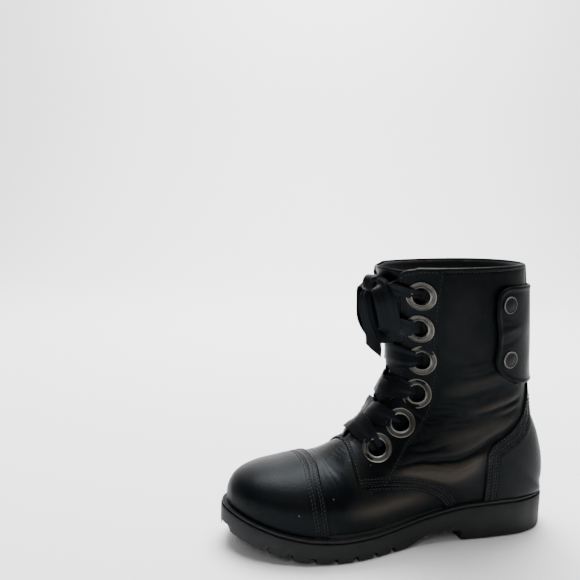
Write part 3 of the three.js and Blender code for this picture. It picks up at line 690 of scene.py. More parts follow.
def drop_faces(piece, chosen):
    """Deletes the chosen faces."""
    pick(piece)
    bpy.ops.object.mode_set(mode="EDIT")
    bpy.ops.mesh.select_mode(type="FACE")
    bpy.ops.mesh.select_all(action="DESELECT")
    bpy.ops.object.mode_set(mode="OBJECT")
    piece.data.polygons.foreach_set("select", chosen)
    bpy.ops.object.mode_set(mode="EDIT")
    bpy.ops.mesh.delete(type="FACE")
    bpy.ops.mesh.select_mode(type="VERT")
    bpy.ops.object.mode_set(mode="OBJECT")


def trim(piece, beyond):
    """Deletes the faces of a grid whose corners all lie beyond the leather's edge."""
    corners = np.empty(len(piece.data.polygons) * 4, int)
    piece.data.polygons.foreach_get("vertices", corners)
    drop_faces(piece, beyond[piece_index(piece)][corners.reshape(-1, 4)].all(1))


def punch(piece, places, radius):
    """Cuts the faces away that lie within a radius of each axis."""
    centres = np.empty(len(piece.data.polygons) * 3)
    piece.data.polygons.foreach_get("center", centres)
    centres = centres.reshape(-1, 3) / MM - SHIFT
    chosen = np.zeros(len(centres), bool)
    for place, normal in places:
        away = centres - place
        height = away @ normal
        chosen |= (np.linalg.norm(away - height[:, None] * normal, axis=1) < radius) & (np.abs(height) < 9)
    drop_faces(piece, chosen)


def leather_piece(name, panel, wall, nodes, materials, rise=None, close=False, holes=()):
    """Panel to a closed piece of leather: grid, wear and painted highlight on the raised folds, wall inwards,
    smooth shading, materials.
    """
    piece = grid_mesh(name, in_frame(panel.place))
    if rise is not None:
        # The raised folds become the colour mask: partly real rubbing of the ridges, partly a painted
        # highlight where lit ridges face up.
        field = piece.data.attributes.new("wear_and_highlight", "FLOAT", "POINT")
        field.data.foreach_set("value", np.clip(0.5 * rise, 0, 1)[piece_index(piece)].reshape(-1))
    if panel.beyond is not None:
        trim(piece, panel.beyond)
        close = True
    face = piece.data.polygons[len(piece.data.polygons) // 2]
    flat = in_frame(panel.place).reshape(-1, 3)
    nearest = int(np.argmin(((flat - np.array(face.center)) ** 2).sum(1)))
    if float(np.dot(np.array(face.normal), panel.normal.reshape(-1, 3)[nearest])) < 0:
        turn_over(piece)
    for look in materials:
        piece.data.materials.append(look)
    if close:
        edit_all(piece, lambda: bpy.ops.mesh.remove_doubles(threshold=0.00005))
    if holes:
        punch(piece, holes, LEATHER_HOLE)
    apply_modifier(piece, "SOLIDIFY", thickness=wall * MM, offset=-1.0,
                   material_offset=1 if len(materials) > 1 else 0, material_offset_rim=0)
    smooth_shade(piece, 50)
    stand_for(piece, nodes)
    return piece


def add(tree, kind, links=None, **settings):
    """Adds a node, with its settings, socket values and links."""
    node = tree.nodes.new(kind)
    for key, value in settings.items():
        if key.startswith("in_"):
            node.inputs[key[3:].replace("_", " ")].default_value = value
        else:
            setattr(node, key, value)
    for socket, source in (links or {}).items():
        tree.links.new(source, node.inputs[socket])
    return node


def new_material(name):
    material = bpy.data.materials.new(name)
    material.use_nodes = True
    tree = material.node_tree
    shader = tree.nodes["Principled BSDF"]
    return material, tree, shader


def full_grain_leather(looks):
    """Full-grain cowhide, aniline-dyed black and waxed: satin gloss, pebbled grain, warm grey on the raised
    folds, partly real wear and partly painted highlight.
    """
    material, tree, shader = new_material("Leather full grain waxed")
    place = add(tree, "ShaderNodeTexCoord").outputs["Object"]
    cloud = add(tree, "ShaderNodeTexNoise", {"Vector": place}, in_Scale=22.0, in_Detail=4.0)
    # Mask of the raised folds: partly real wear, partly painted highlight on the lit ridges.
    wear_and_highlight = add(tree, "ShaderNodeAttribute", attribute_name="wear_and_highlight")
    base = add(tree, "ShaderNodeMixRGB", {"Fac": cloud.outputs["Fac"]},
               in_Color1=looks.leather, in_Color2=looks.leather_light)
    # The worn colour on the raised folds is partly real wear and partly a painted highlight on the lit
    # ridges.
    lifted = add(tree, "ShaderNodeMixRGB", {"Fac": wear_and_highlight.outputs["Fac"], "Color1": base.outputs["Color"]},
                 in_Color2=looks.leather_wear_and_highlight)
    # Dust: single light grains under 1 mm, one in a cell of 9 mm.
    cell = add(tree, "ShaderNodeTexVoronoi", {"Vector": place}, in_Scale=1000 / 9, in_Randomness=1.0)
    speck = add(tree, "ShaderNodeMapRange", {"Value": cell.outputs["Distance"]}, in_From_Min=0.028,
                in_From_Max=0.048, in_To_Min=1.0, in_To_Max=0.0)
    chance = add(tree, "ShaderNodeMapRange", {"Value": cell.outputs["Color"]}, in_From_Min=0.7,
                 in_From_Max=0.72)
    dust = add(tree, "ShaderNodeMath", {0: speck.outputs["Result"], 1: chance.outputs["Result"]},
               operation="MULTIPLY")
    dusty = add(tree, "ShaderNodeMixRGB", {"Fac": dust.outputs["Value"], "Color1": lifted.outputs["Color"]},
                in_Color2=looks.dust)
    tree.links.new(dusty.outputs["Color"], shader.inputs["Base Color"])
    gloss = add(tree, "ShaderNodeMapRange", {"Value": cloud.outputs["Fac"]}, in_From_Min=0.3,
                in_From_Max=0.7, in_To_Min=looks.leather_roughness - 0.05,
                in_To_Max=looks.leather_roughness + 0.07)
    tree.links.new(gloss.outputs["Result"], shader.inputs["Roughness"])
    shader.inputs["IOR"].default_value = 1.5
    shader.inputs["Specular IOR Level"].default_value = 0.07
    shader.inputs["Specular Tint"].default_value = (0.82, 0.94, 1, 1)
    # Grain: pebbles of about 1.3 mm, and pores drawn out to 3 mm, coarser than real to show here.
    grain = add(tree, "ShaderNodeTexVoronoi", {"Vector": place}, feature="SMOOTH_F1", in_Scale=1000 / 1.3)
    pores = add(tree, "ShaderNodeTexNoise", {"Vector": place}, in_Scale=1000 / 3.0, in_Detail=5.0,
                in_Roughness=0.65)
    fine = add(tree, "ShaderNodeBump", {"Height": grain.outputs["Distance"]}, in_Strength=0.12,
               in_Distance=0.0003)
    bump = add(tree, "ShaderNodeBump", {"Height": pores.outputs["Fac"], "Normal": fine.outputs["Normal"]},
               in_Strength=0.25, in_Distance=0.0008)
    tree.links.new(bump.outputs["Normal"], shader.inputs["Normal"])
    return material


def drill_lining(looks):
    """Cotton drill lining, woven and dyed charcoal: matt, with a faint diagonal of threads."""
    material, tree, shader = new_material("Lining cotton drill")
    place = add(tree, "ShaderNodeTexCoord").outputs["Object"]
    # Threads lie 0.6 mm apart in the real cloth and are drawn at 1.2 mm.
    wave = add(tree, "ShaderNodeTexWave", {"Vector": place}, in_Scale=1000 / 1.2 / 6.28, in_Distortion=1.0,
               bands_direction="DIAGONAL")
    bump = add(tree, "ShaderNodeBump", {"Height": wave.outputs["Fac"]}, in_Strength=0.2, in_Distance=0.0003)
    tree.links.new(bump.outputs["Normal"], shader.inputs["Normal"])
    shader.inputs["Base Color"].default_value = looks.lining
    shader.inputs["Roughness"].default_value = 0.85
    shader.inputs["Sheen Weight"].default_value = 0.2
    return material


def moulded_rubber(looks):
    """Carbon-black rubber, compression moulded: dull, slightly mottled with dusty clouds."""
    material, tree, shader = new_material("Rubber carbon black moulded")
    place = add(tree, "ShaderNodeTexCoord").outputs["Object"]
    cloud = add(tree, "ShaderNodeTexNoise", {"Vector": place}, in_Scale=60.0, in_Detail=6.0)
    mix = add(tree, "ShaderNodeMixRGB", {"Fac": cloud.outputs["Fac"]},
              in_Color1=looks.rubber, in_Color2=looks.rubber_dusty)
    tree.links.new(mix.outputs["Color"], shader.inputs["Base Color"])
    grit = add(tree, "ShaderNodeTexNoise", {"Vector": place}, in_Scale=1000 / 1.5, in_Detail=4.0)
    bump = add(tree, "ShaderNodeBump", {"Height": grit.outputs["Fac"]}, in_Strength=0.2, in_Distance=0.0004)
    tree.links.new(bump.outputs["Normal"], shader.inputs["Normal"])
    shader.inputs["Roughness"].default_value = 0.62
    shader.inputs["Specular IOR Level"].default_value = 0.18
    return material


def satin_ribbon(looks):
    """Polyester ribbon, satin-woven: soft sheen along the threads, ribs across its width."""
    material, tree, shader = new_material("Ribbon polyester satin")
    strip = add(tree, "ShaderNodeTexCoord").outputs["UV"]
    wave = add(tree, "ShaderNodeTexWave", {"Vector": strip}, in_Scale=26.0, in_Distortion=0.6,
               bands_direction="X", in_Detail=1.0)
    bump = add(tree, "ShaderNodeBump", {"Height": wave.outputs["Fac"]}, in_Strength=0.12, in_Distance=0.0003)
    tree.links.new(bump.outputs["Normal"], shader.inputs["Normal"])
    shader.inputs["Base Color"].default_value = looks.ribbon
    shader.inputs["Roughness"].default_value = 0.5
    shader.inputs["Specular IOR Level"].default_value = 0.11
    shader.inputs["Specular Tint"].default_value = (0.8, 0.92, 1, 1)
    shader.inputs["Sheen Weight"].default_value = 0.02
    return material


def gunmetal(looks):
    """Brass eyelet ring, gunmetal-plated and lacquered: dark satin metal, rubbed lighter in clouds."""
    material, tree, shader = new_material("Brass gunmetal plated")
    place = add(tree, "ShaderNodeTexCoord").outputs["Object"]
    cloud = add(tree, "ShaderNodeTexNoise", {"Vector": place}, in_Scale=240.0, in_Detail=5.0)
    wear_and_highlight = add(tree, "ShaderNodeAttribute", attribute_name="wear_and_highlight")
    faint = add(tree, "ShaderNodeMath", {0: cloud.outputs["Fac"]}, operation="MULTIPLY", in_Value=0.5)
    rubbed = add(tree, "ShaderNodeMath", {0: faint.outputs["Value"], 1: wear_and_highlight.outputs["Fac"]}, operation="ADD",
                 use_clamp=True)
    mix = add(tree, "ShaderNodeMixRGB", {"Fac": rubbed.outputs["Value"]},
              in_Color1=looks.metal, in_Color2=looks.metal_rubbed)
    tree.links.new(mix.outputs["Color"], shader.inputs["Base Color"])
    shader.inputs["Metallic"].default_value = 1.0
    shader.inputs["Roughness"].default_value = 0.38
    return material


def blackened_brass(looks):
    """Brass snap cap, blackened and lacquered: near-black gloss, worn a little at the rim."""
    material, tree, shader = new_material("Brass blackened lacquered")
    wear_and_highlight = add(tree, "ShaderNodeAttribute", attribute_name="wear_and_highlight")
    mix = add(tree, "ShaderNodeMixRGB", {"Fac": wear_and_highlight.outputs["Fac"]},
              in_Color1=looks.stud, in_Color2=looks.metal_rubbed)
    tree.links.new(mix.outputs["Color"], shader.inputs["Base Color"])
    shader.inputs["Metallic"].default_value = 0.8
    shader.inputs["Roughness"].default_value = 0.4
    return material


def bonded_thread(looks):
    """Bonded nylon thread, twisted and waxed: charcoal, with a dull sheen."""
    material, _, shader = new_material("Thread nylon bonded")
    shader.inputs["Base Color"].default_value = looks.thread
    shader.inputs["Roughness"].default_value = 0.55
    shader.inputs["Specular IOR Level"].default_value = 0.2
    return material


def matt_paper(looks):
    """Seamless background paper: plain, matt and pale."""
    material, _, shader = new_material("Paper matt seamless")
    shader.inputs["Base Color"].default_value = looks.floor
    shader.inputs["Roughness"].default_value = 0.9
    shader.inputs["Specular IOR Level"].default_value = 0.2
    return material


material_makers = {
    "leather": full_grain_leather,
    "lining": drill_lining,
    "rubber": moulded_rubber,
    "ribbon": satin_ribbon,
    "metal": gunmetal,
    "stud": blackened_brass,
    "thread": bonded_thread,
    "paper": matt_paper,
}
made_materials = {}


def material(kind, context):
    if kind not in made_materials:
        made_materials[kind] = material_makers[kind](context.scene.boot_looks)
    return made_materials[kind]


# Folds, troughs and ridges, placed one by one. Each row: which flank (1 outer, -1 inner, 0 both), the
# course in the boot's own millimetres from the heel and the floor, half width, height (below zero for
# a trough).
FLANK_FOLDS = [
    # The roll of the instep over the foot, with the creases that run along it.
    (0, [(160, 61), (144, 61), (128, 60), (116, 60), (103, 61), (91, 65), (79, 70)], 8.5, 3.6),
    (0, [(152, 62.5), (140, 64), (128, 65.5), (118, 64.5), (108, 64), (97, 66.5), (86, 71), (78, 74.5)],
     3.0, 1.1),
    (0, [(157, 65), (145, 69), (134, 71), (123, 70), (114, 70), (103, 70), (94, 72), (85, 75), (77, 78)],
     1.9, -1.9),
    (1, [(139, 67), (133, 68.5), (125, 69), (115, 67), (107, 67), (99, 68.5), (90, 71)], 0.9, -0.6),
    (1, [(136, 64), (130, 66), (122, 65), (113, 64), (105, 65), (95, 67), (85, 71), (77, 75)], 0.9, -0.55),
    (1, [(118, 62), (111, 63), (102, 63), (94, 64.5), (87, 67)], 1.0, -0.4),
    (1, [(152, 64.5), (144, 67), (136, 69), (129, 71)], 1.1, -0.5),
    (1, [(148, 64), (141, 65), (135, 67)], 1.0, -0.4),
    (-1, [(150, 64), (140, 68), (130, 67), (118, 66), (104, 65), (92, 69)], 1.1, -0.5),
    (0, [(134, 73), (123, 73), (112, 73), (100, 73.5), (89, 76), (79, 80), (71, 83)], 1.4, -0.8),
    (0, [(128, 76), (112, 76), (98, 78), (86, 82), (74, 87)], 2.2, 0.5),
    (0, [(100, 75), (84, 80), (72, 86), (59, 93), (51, 101)], 1.8, -1.1),
    (0, [(104, 79), (88, 84), (76, 90), (63, 97), (56, 104)], 3.0, 0.8),
    # The sag of the shaft over the ankle.
    (0, [(116, 85), (100, 89), (84, 94), (70, 99), (57, 104)], 7.0, 1.1),
    (0, [(92, 110), (80, 113), (73, 116), (63, 120), (52, 125)], 3.6, 1.3),
    (0, [(86, 108), (75, 111), (66, 113.5), (57, 117.5), (49, 121)], 1.6, -0.9),
    (0, [(72, 108), (61, 112), (50, 116)], 2.2, 0.8),
    (1, [(70, 104), (60, 108), (52, 113)], 1.4, -0.6),
    (0, [(118, 126), (100, 130), (80, 137), (64, 142), (50, 146)], 6.0, 0.7),
    (1, [(110, 121), (95, 123), (82, 128), (68, 132)], 1.5, -0.4),
    (1, [(104, 137), (90, 140), (74, 146), (60, 149)], 1.6, -0.35),
    (1, [(116, 147), (100, 150), (86, 154), (70, 156)], 1.8, -0.3),
    # Fine wrinkles behind the facing.
    (0, [(130, 102), (121, 103.5), (113, 103)], 1.1, -0.4),
    (0, [(130, 105), (125, 105.3), (119, 106.4), (112, 106.3)], 1.1, -0.4),
    (1, [(118, 109), (111, 109), (103, 108.5)], 1.1, -0.35),
    (0, [(127, 99), (121, 100), (114, 101)], 1.1, -0.35),
    (0, [(124, 112), (114, 113), (104, 112)], 1.2, -0.3),
    (0, [(126, 107.5), (118, 108), (108, 106.5), (98, 105)], 0.9, -0.25),
    (0, [(120, 116), (108, 117), (96, 116)], 0.9, -0.2),
    (0, [(112, 95), (100, 97), (90, 98)], 0.9, -0.22),
    (1, [(108, 101), (98, 102), (88, 104)], 0.9, -0.2),
    (1, [(96, 131), (84, 134), (72, 138)], 1.0, -0.2),
    (1, [(100, 143), (88, 146), (76, 149)], 1.0, -0.18),
    (0, [(152, 116), (146, 112), (140, 108), (133, 103.5), (126, 99.5)], 1.4, -0.7),
    (0, [(148, 117), (141, 112), (135, 107), (128, 103)], 1.4, 0.5),
    (0, [(144, 79.5), (133, 78.5), (122, 80), (108, 84)], 1.6, -0.5),
    (0, [(158, 84), (146, 84), (134, 86), (122, 90)], 1.8, -0.4),
    (0, [(176, 66), (168, 68), (160, 68), (152, 69)], 1.3, -0.5),
    (1, [(180, 61), (172, 62), (164, 62)], 1.2, -0.4),
]
# The bulge of the vamp below the quarter's edge.
FOREFOOT_FOLDS = [
    (0, [(198, 38), (186, 37.5), (176, 37.5), (164, 38.5), (152, 40), (141, 41), (128, 40)], 6.5, 1.9),
]
# The same on the vamp, seen from above: the course in millimetres from the heel and the centre line.
VAMP_FOLDS = [
    ([(211, 12), (211.3, 24), (210.2, 32), (207.8, 39), (204.9, 43), (199, 46)], 0.9, -0.32),
    ([(213, 15), (214, 27), (213, 34), (210.5, 41), (206, 45)], 0.8, -0.26),
    ([(209.7, 12), (208.8, 23), (206.6, 32), (203.8, 39), (199, 44)], 0.9, -0.3),
    ([(215, 20), (216.4, 32), (215.3, 38), (213, 44)], 0.8, -0.22),
    ([(207.8, 11), (206.1, 22), (202.7, 30), (198, 38)], 0.9, -0.24),
    ([(206, 16), (204, 24), (200, 31), (196, 36)], 0.8, -0.16),
    ([(213, 2), (214.4, 19), (214.6, 30), (212.9, 40)], 2.4, 0.35),
    ([(211, -4), (211, -16), (209, -28), (204, -38)], 0.9, -0.3),
    ([(213.5, -10), (213.5, -24), (210, -36), (205, -43)], 0.8, -0.26),
    ([(208, -6), (206, -20), (202, -32), (196, -40)], 0.9, -0.26),
    # The hollow in front of the throat.
    ([(206, 14), (202, 20), (196, 25)], 8.0, -1.1),
    ([(206, -14), (202, -20), (196, -25)], 8.0, -0.9),
    ([(199, 6), (198, 12), (195, 18)], 0.8, -0.12),
    ([(196.5, 6), (195, 12), (192.5, 18)], 0.8, -0.12),
    ([(194, 4), (192.5, 11), (190, 17)], 0.8, -0.1),
]
# The edge of the stiffener under the heel counter.
COUNTER_FOLDS = [
    ([(35, 97), (45, 83), (57, 74), (66, 66)], 1.6, 0.4),
]
# Those of the strap, by its own x and z.
STRAP_FOLDS = [
    ([(82, 194), (74, 188), (66, 187), (59, 191)], 1.5, -0.3),
    ([(84, 190), (75, 183), (65, 182), (56, 186)], 1.7, -0.3),
    ([(80, 172), (70, 177), (58, 180)], 3.0, 0.45),
    ([(78, 166), (68, 168), (58, 173)], 2.0, -0.35),
]


def fold_field(a, b, folds):
    """Sum of soft folds at places given by two coordinates."""
    total = np.zeros(a.shape)
    for course, width, height in folds:
        line = rounded(course, 6)
        best = np.full(a.shape, 1e9)
        share = np.zeros(a.shape)
        count = len(line) - 1
        for k in range(count):
            p = line[k]
            d = line[k + 1] - p
            t = np.clip(((a - p[0]) * d[0] + (b - p[1]) * d[1]) / max(float(d @ d), 1e-9), 0, 1)
            distance = np.hypot(a - p[0] - t * d[0], b - p[1] - t * d[1])
            nearer = distance < best
            best = np.where(nearer, distance, best)
            share = np.where(nearer, (k + t) / count, share)
        taper = np.sin(np.pi * np.clip(share * 0.92 + 0.04, 0, 1)) ** 0.7
        total = total + height * taper * np.exp(-(best / width) ** 2)
    return total


def wander(seed, a, b, size):
    """Smooth random field between -1 and 1, from a few seeded waves of about that size."""
    rng = np.random.default_rng(seed)
    total = np.zeros(a.shape)
    for _ in range(9):
        angle = rng.uniform(0, 2 * math.pi)
        scale = size * rng.uniform(0.7, 1.6)
        total += np.sin(2 * math.pi * (a * math.cos(angle) + b * math.sin(angle)) / scale
                        + rng.uniform(0, 2 * math.pi))
    return total / 5


def relief(panel, depth, folds_table=FLANK_FOLDS):
    """How far a panel's places stand out by its folds."""
    x = panel.base[..., 0]
    y = panel.base[..., 1]
    z = panel.base[..., 2]
    rise = np.zeros(x.shape)
    for sign in (1, -1):
        folds = [(course, width, height) for side, course, width, height in folds_table if side in (0, sign)]
        if (panel.sign == sign).any():
            flank = np.clip((np.abs(panel.normal[..., 1]) - 0.25) / 0.3, 0, 1)
            rise += np.where(panel.sign == sign, fold_field(x, z, folds), 0) * flank
    top = np.clip((panel.normal[..., 2] - 0.05) / 0.3, 0, 1)
    rise += fold_field(x, y, VAMP_FOLDS) * top * np.clip((x - 186) / 6, 0, 1)
    rise += 0.22 * wander(3, x + 0.6 * y, z, 52.0)
    rise += 0.05 * wander(5, x - 0.4 * y, z + 0.3 * y, 19.0)
    return rise * depth


def rolled_edge(distance, radius, drop):
    """How far a folded edge turns down within its radius."""
    near = np.clip(distance / radius, 0, 1)
    return -drop * (1 - np.sqrt(np.clip(1 - (1 - near) ** 2, 0, 1)))


def puffed(distance):
    """How far leather swells just behind a folded edge."""
    return 0.35 * np.exp(-((distance - 1.6) / 1.2) ** 2)


stitch_rows = []
# Rows of stitches by their distances from an edge: along the quarter's lower edge, and in two pairs.
QUARTER_ROWS = (2.0, 4.2, 7.2, 9.4)
PAIRED_ROWS = (2.0, 4.2, 8.6, 10.8)
# The two borders of each quarter, which the facings follow.
quarter_borders = {}


def grow(start, end, u):
    return start + (end - start) * u


def vamp_panel():
    u = spaced(84)
    w = spaced(190) * 4 - 2
    start = np.where(w >= 0, cap_rear[1](np.abs(w)), cap_rear[-1](np.abs(w))) - 0.3
    end = np.where(w >= 0, quarter_front[1](np.abs(w)), quarter_front[-1](np.abs(w))) + 0.45
    order = grow(start[None, :], end[None, :], u[:, None])
    return Panel(order, np.broadcast_to(w, order.shape), 0.0)


def quarter_panel(sign, u_cells, v_cells):
    """From the vamp's seam to the collar, and from the facing to the welt and the back."""
    low = 5.5
    orders = np.linspace(low, LAST, 600)
    points = section(orders, sign, 1.3)
    length = walked(points)
    at = np.interp(spaced(u_cells, 0.7, (False, True)) * length[-1], length, orders)
    share = ((at - low) / (LAST - low))[:, None]
    V = spaced(v_cells, 0.7, (True, False))[None, :]
    order = at[:, None] + 0 * V
    for _ in range(16):
        phase = grow(facing(order, sign), 2.0, V)
        order = low + (collar_end[sign](phase) - low) * share
    traced = trace(even_course(quarter_line, 1.0), sign)
    traced = traced[int(np.argmax(traced[:, 1] > facing(traced[:, 0], sign) + 0.004)):]
    traced = traced[:int(np.argmax(traced[:, 1] > 1.995)) or len(traced)]
    fine = np.arange(0, len(traced) - 1, 0.1)
    rim_order, rim_phase = [np.interp(fine, np.arange(len(traced)), traced[:, k]) for k in (0, 1)]
    rim_phase[-1] = 2.0
    rim = section(rim_order, sign, rim_phase)
    place = section(order, sign, phase)
    beyond = ~inside(quarter_region, place[..., 0], place[..., 2])
    near = np.zeros(beyond.shape, int)
    gap = np.full(beyond.shape, 1e9)
    for k, point in enumerate(rim):
        here = ((place - point) ** 2).sum(-1)
        near = np.where(here < gap, k, near)
        gap = np.minimum(gap, here)
    beyond |= gap < 0.35 ** 2
    order = np.where(beyond, rim_order[near], order)
    phase = np.where(beyond, rim_phase[near], phase)
    panel = Panel(np.clip(order, 0, LAST), sign * phase, QUARTER_OUT)
    panel.beyond = beyond
    panel.border = rim[::5] + section_normal(rim_order, sign, rim_phase)[::5] * QUARTER_OUT
    return panel


def cap_panel():
    u = spaced(92, 0.8, (False, True))
    w = spaced(200) * 4 - 2
    end = np.where(w >= 0, cap_rear[1](np.abs(w)), cap_rear[-1](np.abs(w)))
    order = grow(0.0, end[None, :], u[:, None] ** 0.9)
    return Panel(order, np.broadcast_to(w, order.shape), CAP_OUT)


def counter_panel(sign):
    first = float(np.interp(COUNTER_EDGE[0][0] * SOLE_LENGTH, *[np.array(t)[::-1] for t in (
        section(TABLE_ORDERS[:240], sign, 2.0)[:, 0], TABLE_ORDERS[:240])]))
    u = first + (LAST - 0.02 - first) * spaced(230)
    v = spaced(56, 0.7, (True, False))
    edge = counter_phase(u, sign)
    phase = grow(edge[:, None], 2.0, v[None, :])
    return Panel(np.broadcast_to(u[:, None], phase.shape), sign * phase, COUNTER_OUT)


stay_width = Curve([7.0, 7.5, 8.3, 9.0, LAST], [48.0, 46.0, 40.0, STAY_BAND, STAY_BAND])


def stay_phase(order, sign, short=0.0):
    arc = arc_at(order, sign, facing(order, sign)) + stay_width(order) - short
    return phase_at(order, sign, arc)


def stay_panel(sign, u_cells, v_cells):
    U = spaced(u_cells, 0.75)[:, None]
    V = spaced(v_cells, 0.75)[None, :]
    order = np.full((u_cells + 1, v_cells + 1), 12.0)
    phase = order * 0
    for _ in range(16):
        order = grow(quarter_front[sign](phase) + 0.02, collar_end[sign](phase) - 0.01, U + 0 * V)
        phase = grow(facing(order, sign), stay_phase(order, sign), V + 0 * U)
    return Panel(order, sign * phase, STAY_OUT)


def tongue_panel():
    u = 6.9 + (LAST - 0.25 - 6.9) * spaced(130, 0.6, (False, True))
    side = {}
    for sign in (1, -1):
        def beyond(phase, sign=sign):
            p = section(u, sign, phase)
            wide = throat_half(np.maximum(p[..., 2], THROAT_FLOOR + 5.2)) + 15.0
            return np.abs(p[..., 1]) >= wide
        side[sign] = solve(beyond, np.zeros(len(u)), np.ones(len(u)), 22)
    w = spaced(64, 0.6) * 2 - 1
    signed = np.where(w[None, :] >= 0, w[None, :] * side[1][:, None], w[None, :] * side[-1][:, None])
    return Panel(np.broadcast_to(u[:, None], signed.shape), signed, TONGUE_OUT)


strap_front = Curve([0.6] + [row[0] for row in STRAP_EDGE[1:-1]] + [1.09],
                    [0.1] + [row[1] for row in STRAP_EDGE[1:-1]] + [0.1])


def strap_panel(u_cells=54, v_cells=230):
    """Round the back of the shaft, level by level, out to its rounded ends."""
    level = spaced(u_cells, 0.75)
    share = spaced(v_cells, 0.6) * 2 - 1
    low = 0.647
    high = 1.046
    z = (low + (high - low) * level) * SHAFT_HEIGHT
    front = strap_front(low + (high - low) * level) * SOLE_LENGTH
    phases = np.linspace(2, 0.55, 140)
    orders = np.zeros((len(level), len(share)))
    signed = np.zeros((len(level), len(share)))
    for sign in (1, -1):
        rows = solve(
            lambda order: section(order, sign, phases[None, :])[..., 2] >= z[:, None],
            np.full((len(level), len(phases)), 12.0), np.full((len(level), len(phases)), LAST))
        places = section(rows, sign, phases[None, :])
        for i in range(len(level)):
            length = walked(places[i])
            reach = float(np.interp(front[i], np.maximum.accumulate(places[i, :, 0]), length))
            mask = share * sign >= 0
            at = np.abs(share[mask]) * reach
            orders[i, mask] = np.interp(at, length, rows[i])
            signed[i, mask] = sign * np.interp(at, length, phases)
    return Panel(orders, signed, STRAP_OUT)


def on_upper(order, sign, arc, lift):
    """Place over the upper, down an arc length from the ridge and lifted off it, with its direction out."""
    phase = phase_at(order, sign, arc)
    normal = section_normal(order, sign, phase)
    return section(order, sign, phase) + normal * np.asarray(lift)[..., None], normal


def eyelet_places(sign):
    orders = np.arange(LAST, 6.5, -0.02)
    arcs = arc_at(orders, sign, facing(orders, sign)) + EYELET_SETBACK
    points = on_upper(orders, sign, arcs, np.zeros(len(orders)))[0]
    lengths = walked(points)
    found = []
    for k in range(EYELET_COUNT):
        at = EYELET_DROP + k * EYELET_PITCH
        order = float(np.interp(at, lengths, orders))
        arc = float(np.interp(order, orders[::-1], arcs[::-1]))
        point, normal = on_upper(np.array(order), sign, np.array(arc), np.array(0.0))
        found.append((order, arc, point, normal))
    return found


eyelets = {1: eyelet_places(1), -1: eyelet_places(-1)}


def eyelet_axes(sign):
    return [(place, normal) for _, _, place, normal in eyelets[sign]]


def turned(name, profile, sides, place, normal, rubbed):
    """A circle drawn up through a profile of radii and heights, stood on the leather.

    The rubbed function tells from radii and heights how worn the metal is.
    """
    deselect()
    radius, height = profile[0]
    bpy.ops.mesh.primitive_circle_add(vertices=sides, radius=radius * MM, location=(0, 0, 0))
    piece = bpy.context.object
    piece.name = name
    piece.data.name = name
    bpy.ops.object.mode_set(mode="EDIT")
    bpy.ops.mesh.select_all(action="SELECT")
    bpy.ops.transform.translate(value=(0, 0, height * MM))
    for next_radius, next_height in profile[1:]:
        climb = (0, 0, (next_height - height) * MM)
        bpy.ops.mesh.extrude_region_move(TRANSFORM_OT_translate={"value": climb})
        scale = next_radius / radius
        bpy.ops.transform.resize(value=(scale, scale, 1), center_override=(0, 0, next_height * MM))
        radius, height = next_radius, next_height
    bpy.ops.mesh.select_all(action="SELECT")
    bpy.ops.mesh.remove_doubles(threshold=0.00001)
    bpy.ops.mesh.normals_make_consistent(inside=False)
    bpy.ops.object.mode_set(mode="OBJECT")
    flat = corner_places(piece) / MM
    field = piece.data.attributes.new("wear_and_highlight", "FLOAT", "POINT")
    field.data.foreach_set("value", rubbed(np.hypot(flat[:, 0], flat[:, 1]), flat[:, 2]).astype(float))
    turn = Vector((0, 0, 1)).rotation_difference(Vector(normal)).to_matrix().to_4x4()
    piece.data.transform(Matrix.Translation(Vector(in_frame(place))) @ turn)
    smooth_shade(piece, 40)
    return piece


def ribbon_mesh(name, points, across, widths, pleats, wall, context, phase=0.7, folded=0.0, slant=0.0):
    """Flat ribbon along a course: a grid whose rows lie across it, its far end cut on the slant."""
    points = np.asarray(points, float)
    across = unit(np.asarray(across, float))
    along = unit(np.gradient(points, axis=0))
    across = unit(across - (across * along).sum(-1, keepdims=True) * along)
    up = np.cross(along, across)
    v = np.linspace(-0.5, 0.5, 17)
    turns = v[None, :] * 2 * math.pi
    wave = np.sin(turns * 1.7 + phase) + 0.4 * np.sin(turns * 3.4 + 2 * phase)
    rise = pleats[:, None] * wave + folded * (np.abs(v[None, :]) - 0.25)
    places = (points[:, None, :] + across[:, None, :] * (widths[:, None] * v[None, :])[..., None]
              + up[:, None, :] * rise[..., None])
    late = np.clip(np.linspace(-3, 1, len(points)), 0, 1)
    places = places + along[:, None, :] * (slant * late[:, None] * v[None, :])[..., None]
    piece = grid_mesh(name, in_frame(places))
    piece.data.materials.append(material("ribbon", context))
    apply_modifier(piece, "SOLIDIFY", thickness=wall * MM, offset=0.0)
    smooth_shade(piece, 60)
    return piece


def smooth_course(points, count):
    """Even samples of a soft course through a few points in space."""
    out = rounded(points, 24)
    length = walked(out)
    at = np.linspace(0, length[-1], count)
    return np.stack([np.interp(at, length, out[:, k]) for k in range(out.shape[1])], -1), length[-1]


KNOT_SIZE = (7.0, 10.0, 8.0)
knot_order = eyelets[1][0][0]
knot_foot, knot_out = on_upper(np.array(knot_order), 1, np.array(0.0), np.array(0.0))
KNOT_CENTRE = knot_foot + knot_out * 1.1 * KNOT_SIZE[0]

